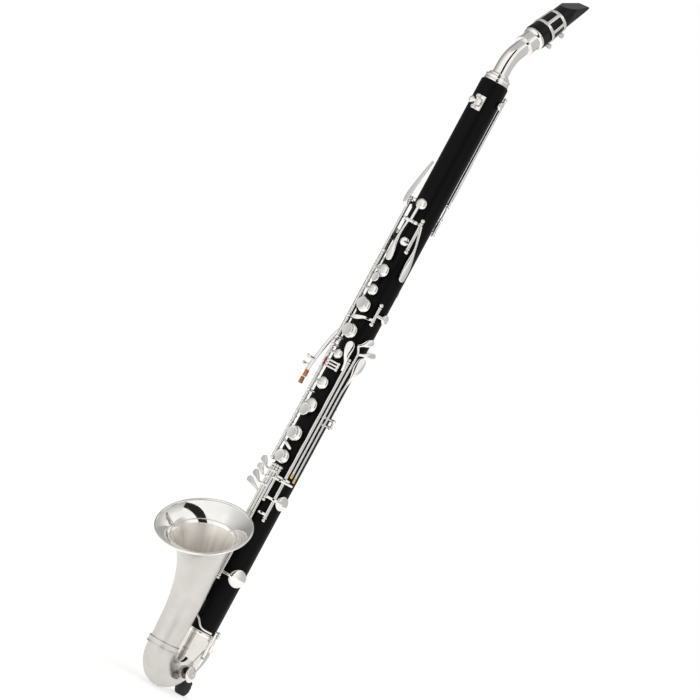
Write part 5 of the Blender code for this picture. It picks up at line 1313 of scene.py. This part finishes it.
def build_lowest_key():
    """The open key on the side of the bow with its hinge."""
    ball = sizes().small_ball
    top, foot = (height for height, base in LOWEST_POSTS)
    shells = Shells("lowest_key_rod", "steel_rod")
    rod(shells, at(LOWEST_BEARING, HINGE_REACH, foot), at(LOWEST_BEARING, HINGE_REACH, top))
    out = outward(LOWEST_BEARING)
    posts(shells, [(at(LOWEST_BEARING, HINGE_REACH, height), out, HINGE_REACH - base)
                   for height, base in LOWEST_POSTS], ball)
    shells.show()
    shells = Shells("lowest_key")
    low, high = clear_tube(shells, LOWEST_BEARING, HINGE_REACH, foot, top, ball=ball)
    seat = bow_point(LOWEST_ANGLE) + LOWEST_OUT * (BOW_RADIUS + 0.0022 + GAP)
    pad_cup(shells, aimed(seat, LOWEST_OUT), LOWEST_CUP)
    crown = seat + LOWEST_OUT * (sizes().cup_height + 0.0002)
    start = at(108, HINGE_REACH + 0.0008, low + 0.0070)
    arm = [start, start.lerp(crown, 0.5) + LOWEST_OUT * 0.001, crown]
    shells.blade(arm, [0.0038, 0.0038, 0.0018], 0.0019, LOWEST_OUT)
    points = [at(108, HINGE_REACH + 0.0008, high - 0.012), at(98, 0.0242, high - 0.008),
              at(84, 0.0250, high - 0.002)]
    shells.touch(points, [0.0042, 0.0066, 0.0066], outward(98), 0.0004)
    shells.show()


def build_register():
    """The register key with its long tube, the thumb key and the small front vent."""
    build_rod("register_rod", REGISTER_BEARING, HINGE_REACH, REGISTER_POSTS)
    top, step, thumb_top, thumb_foot = REGISTER_POSTS
    shells = Shells("register_key")
    low, high = clear_tube(shells, REGISTER_BEARING, HINGE_REACH, step, top)
    armed_cup(shells, at(REGISTER_BEARING, HINGE_REACH, CUPS["register_key"][1]))
    lever = [at(REGISTER_BEARING, HINGE_REACH + rise, low + height)
             for rise, height in ((0.0012, 0.060), (0.0014, 0.030), (0.0012, 0.004))]
    shells.blade(lever, [0.0026, 0.0040, 0.0050], 0.0024, outward(REGISTER_BEARING))
    stops = ((REGISTER_BEARING, HINGE_REACH), (161, 0.0236), (REGISTER_TAIL, 0.0240))
    crossing(shells, stops, low + 0.002, 0.0030, 0.0018)
    shells.show()
    shells = Shells("thumb_key")
    low, high = clear_tube(shells, REGISTER_BEARING, HINGE_REACH, thumb_foot, thumb_top)
    middle = (low + high) / 2
    stops = ((REGISTER_BEARING, HINGE_REACH + 0.0008), (164, 0.0241), (THUMB_BEND, 0.0242))
    crossing(shells, stops, middle, 0.0050, 0.0020)
    bend = at(THUMB_BEND, 0.0242, middle)
    tip = at(THUMB_TIP, 0.0255, middle - 0.024)
    leaf(shells, bend + UP * 0.001, tip, 0.0050, 0.0110, outward(THUMB_BEND + 4))
    finger = [bend, at(THUMB_BEND, 0.0280, middle + 0.033)]
    shells.blade(finger, [0.0036, 0.0034], 0.0018, outward(THUMB_BEND))
    shells.show()
    build_vent()


def build_vent():
    """The small front vent key and its rod on a thin footed plate."""
    ball = sizes().small_ball
    shells = Shells("vent_rod", "steel_rod")
    hinge_line(shells, VENT_BEARING, VENT_REACH, VENT_POSTS, ball)
    stops = [-14 + 6 * step for step in range(8)]
    for height in (0.7215, 0.7355):
        curved_strip(shells, stops, VENT_BAND, height, 0.0052, 0.0009, (True, False))
    edge = [at(VENT_EDGE, VENT_BAND, height) for height in (0.7190, 0.7285, 0.7380)]
    shells.blade(edge, [0.0030] * 3, 0.0009, outward(VENT_EDGE), 0, FLAT_ENDS, 4)
    shells.show()
    shells = Shells("vent_key")
    clear_tube(shells, VENT_BEARING, VENT_REACH, VENT_POSTS[1], VENT_POSTS[0], 0.0019, ball)
    height = CUPS["vent_key"][1]
    armed_cup(shells, at(VENT_BEARING, VENT_REACH, height))
    stops = ((VENT_BEARING, VENT_REACH), (16, VENT_REACH + 0.0006), (VENT_EDGE, VENT_REACH + 0.0006))
    crossing(shells, stops, height, 0.0085, 0.0020)
    shells.show()


def foot_plate(shells, height, half):
    foot = at(BACK, BODY_RADIUS + GAP + 0.0009, height)
    points = [foot - UP * half, foot, foot + UP * half]
    shells.blade(points, [0.0090, 0.0124, 0.0090], 0.0018, outward(BACK), 0, ROUND_ENDS)


def build_back():
    """The strap ring and the thumb rest on the back."""
    shells = Shells("strap_ring")
    foot_plate(shells, STRAP_HEIGHT, 0.0120)
    place = aimed(at(BACK, BODY_RADIUS + 0.0077, STRAP_HEIGHT), LEFT)
    shells.hoop(bead_profile(0.0055, 0.0016, 20), place, "key_silver", 48)
    shells.show()
    shells = Shells("thumb_rest")
    foot_plate(shells, THUMB_REST_HEIGHT, 0.0143)
    hook = [at(BACK, BODY_RADIUS + 0.0012 + reach, THUMB_REST_HEIGHT + rise)
            for reach, rise in ((0, 0), (0.005, 0.0003), (0.009, -0.0010), (0.0115, -0.003))]
    shells.blade(hook, [0.0090, 0.0094, 0.0108, 0.0108], 0.0022, UP)
    shells.show()


# Stage

VIEW_BEARING = 34.0
VIEW_ROLL = 28.3
VIEW_DISTANCE = 4.5
VIEW_HEIGHT = 0.472
VIEW_SHIFT = -0.00185
WORLD_LEVEL = 0.72
PANEL_LIGHT = 0.3
FLOOR_LIFT = 0.37
WHITE = (1, 1, 1, 1)


def stage_object(name, data):
    item = bpy.data.objects.new(name, data)
    bpy.context.scene.collection.objects.link(item)
    return item


def softbox(name, bearing, distance, height, width, tall):
    """A light panel that looks at the body from a bearing and is not seen itself."""
    data = bpy.data.lights.new(name, "AREA")
    data.shape = "RECTANGLE"
    data.size = width
    data.size_y = tall
    data.energy = PANEL_LIGHT * math.pi * width * tall
    lamp = stage_object(name, data)
    place = Vector((0, BODY_FOOT.y, height)) + outward(bearing) * distance
    aim = Vector((0, BODY_FOOT.y, 0.5)) - place
    lamp.matrix_world = Matrix.Translation(place) @ aim.to_track_quat("-Z", "Y").to_matrix().to_4x4()
    lamp.visible_camera = False
    lamp.visible_glossy = False
    return lamp


def card(name, place, width, height, left, right, fade=(-0.5, 0.5)):
    """A card that shows in reflections alone, graded in brightness between two places across it."""
    black = {"Base Color": (0, 0, 0, 1), "Specular IOR Level": 0.0, "Emission Color": WHITE}
    material, tree, shader = blank_finish(name, black)
    split = add_node(tree, "ShaderNodeSeparateXYZ", {
        "Vector": add_node(tree, "ShaderNodeTexCoord", {}).outputs["Object"]})
    glow = spread(tree, split.outputs["X"], left, right, fade[0] * width, fade[1] * width)
    set_inputs(tree, shader, {"Emission Strength": glow})
    mesh = bpy.data.meshes.new(name)
    corners = [(-width, -height), (width, -height), (width, height), (-width, height)]
    mesh.from_pydata([(x / 2, y / 2, 0) for x, y in corners], [], [(0, 1, 2, 3)])
    mesh.materials.append(material)
    item = stage_object(name, mesh)
    item.matrix_world = Matrix.Translation((0, BODY_FOOT.y, 0)) @ place
    for ray in ("camera", "diffuse", "transmission", "shadow", "volume_scatter"):
        setattr(item, "visible_" + ray, False)
    return item


def seen_rays(tree):
    """One where a ray from the camera, a mirror or a glass looks, and nought where light is gathered."""
    rays = add_node(tree, "ShaderNodeLightPath", {}).outputs
    total = rays["Is Camera Ray"]
    for label in ("Is Glossy Ray", "Is Transmission Ray"):
        both = add_node(tree, "ShaderNodeMath", {0: total, 1: rays[label]}, operation="ADD", use_clamp=True)
        total = both.outputs["Value"]
    return total


def white_world():
    """A world that looks white, also in the metal, and lights the object at a plain level."""
    world = bpy.data.worlds.new("studio")
    world.use_nodes = True
    tree = world.node_tree
    tree.nodes.clear()
    white = add_node(tree, "ShaderNodeBackground", {"Color": WHITE})
    soft = add_node(tree, "ShaderNodeBackground", {"Color": (1.0, 0.99, 0.975, 1), "Strength": WORLD_LEVEL})
    choose = add_node(tree, "ShaderNodeMixShader", {
        "Fac": seen_rays(tree), 1: soft.outputs["Background"], 2: white.outputs["Background"]})
    add_node(tree, "ShaderNodeOutputWorld", {"Surface": choose.outputs["Shader"]})
    bpy.context.scene.world = world


def make_floor():
    """A floor that looks white where it is lit, and darker only where the instrument shades it."""
    matt = {"Roughness": 0.9, "Specular IOR Level": 0.1, "Emission Color": WHITE}
    material, tree, shader = blank_finish("pale_floor", matt)
    tinted(tree, shader, grain(tree, 3, 2), colour_of("floor"), 0.995, 1.0)
    lift = add_node(tree, "ShaderNodeMath", {0: seen_rays(tree), 1: FLOOR_LIFT}, operation="MULTIPLY")
    set_inputs(tree, shader, {"Emission Strength": lift.outputs["Value"]})
    mesh = bpy.data.meshes.new("floor")
    shape = bmesh.new()
    bmesh.ops.create_grid(shape, x_segments=4, y_segments=4, size=6)
    shape.to_mesh(mesh)
    shape.free()
    mesh.materials.append(material)
    return stage_object("floor", mesh)


def make_camera():
    """The camera that takes the photograph's view."""
    out = outward(VIEW_BEARING)
    across = sideways(VIEW_BEARING)
    roll = math.radians(VIEW_ROLL)
    right = across * math.cos(roll) + UP * math.sin(roll)
    upward = UP * math.cos(roll) - across * math.sin(roll)
    target = Vector((0, BODY_FOOT.y, VIEW_HEIGHT)) + across * VIEW_SHIFT
    data = bpy.data.cameras.new("photo_view")
    data.lens = 189
    data.sensor_width = 36
    data.clip_end = 60
    camera = stage_object("photo_view", data)
    turn = Matrix((right, upward, out)).transposed().to_4x4()
    camera.matrix_world = Matrix.Translation(target + out * VIEW_DISTANCE) @ turn
    bpy.context.scene.camera = camera
    return camera


def build_stage():
    """The floor, the light, the cards that show in reflections, and the camera."""
    bpy.context.scene.view_settings.view_transform = "Standard"
    white_world()
    floor = make_floor()
    lamps = [
        softbox("left_panel", VIEW_BEARING - 43, 1.6, 0.75, 1.8, 2.2),
        softbox("right_panel", VIEW_BEARING + 55, 1.6, 0.75, 1.9, 2.2),
        softbox("top_panel", VIEW_BEARING + 30, 0.4, 2.6, 1.6, 1.6),
    ]
    around = {
        bearing: facing(VIEW_BEARING + bearing, distance, VIEW_HEIGHT)
        for bearing, distance in ((4, 1.7), (180, 1.8), (-95, 1.8), (92, 1.8))
    }
    above = facing(VIEW_BEARING, -0.75, 3.2) @ Matrix.Rotation(math.pi / 2, 4, "X")
    cards = [
        card("dark_strip", around[4], 0.72, 12.0, 0.02, 0.02),
        card("back_card", around[180], 3.0, 5.0, 0.40, 0.40),
        card("left_card", around[-95], 4.3, 5.0, 0.32, 1.0, (-0.2, 0.36)),
        card("right_card", around[92], 4.3, 5.0, 1.0, 0.60, (-0.5, -0.22)),
        card("top_card", above, 5.0, 4.4, 0.52, 1.0, (0.0, 0.2)),
    ]
    camera = make_camera()


# Add-on

def build_operator(name, label, build):
    """An operator class that runs one builder."""

    def execute(self, context):
        build()
        return {"FINISHED"}

    about = {"bl_idname": "clarinet." + name, "bl_label": label, "__doc__": build.__doc__}
    return type("CLARINET_OT_" + name, (bpy.types.Operator,), {**about, "execute": execute})


OPERATORS = tuple(build_operator(*row) for row in (
    ("body", "Body", build_body),
    ("bow", "Bow", build_bow),
    ("bell", "Bell", build_bell),
    ("peg", "Peg", build_peg),
    ("neck", "Neck", build_neck),
    ("mouthpiece", "Mouthpiece", build_mouthpiece),
    ("ligature", "Ligature", build_ligature),
    ("stack", "Finger Stacks", build_stack_keys),
    ("bridge", "Bridge", build_bridge),
    ("throat", "Throat Keys", build_throat),
    ("side", "Side Keys", build_side_keys),
    ("left", "Left Levers", build_left_levers),
    ("right", "Right Keys", build_right_keys),
    ("lowest", "Lowest Key", build_lowest_key),
    ("register", "Register Keys", build_register),
    ("back", "Back Fittings", build_back),
    ("stage", "Stage", build_stage),
))


class CLARINET_PT_pieces(bpy.types.Panel):
    """Sidebar list of the instrument's builders, sizes and colours."""

    bl_label = "Low Clarinet"
    bl_space_type = "VIEW_3D"
    bl_region_type = "UI"
    bl_category = "Clarinet"

    def draw(self, context):
        for operator in OPERATORS:
            self.layout.operator(operator.bl_idname)
        for group in (context.scene.clarinet_sizes, context.scene.clarinet_colours):
            box = self.layout.box()
            for name in group.bl_rna.properties.keys():
                if name not in ("rna_type", "name"):
                    box.prop(group, name)


CLASSES = (ClarinetSizes, ClarinetColours, *OPERATORS, CLARINET_PT_pieces)


def register():
    for item in CLASSES:
        bpy.utils.register_class(item)
    bpy.types.Scene.clarinet_sizes = PointerProperty(type=ClarinetSizes)
    bpy.types.Scene.clarinet_colours = PointerProperty(type=ClarinetColours)


def unregister():
    del bpy.types.Scene.clarinet_colours
    del bpy.types.Scene.clarinet_sizes
    for item in reversed(CLASSES):
        bpy.utils.unregister_class(item)


def main():
    register()
    for operator in OPERATORS:
        getattr(bpy.ops.clarinet, operator.bl_idname.split(".")[1])()


if __name__ == "__main__":
    main()
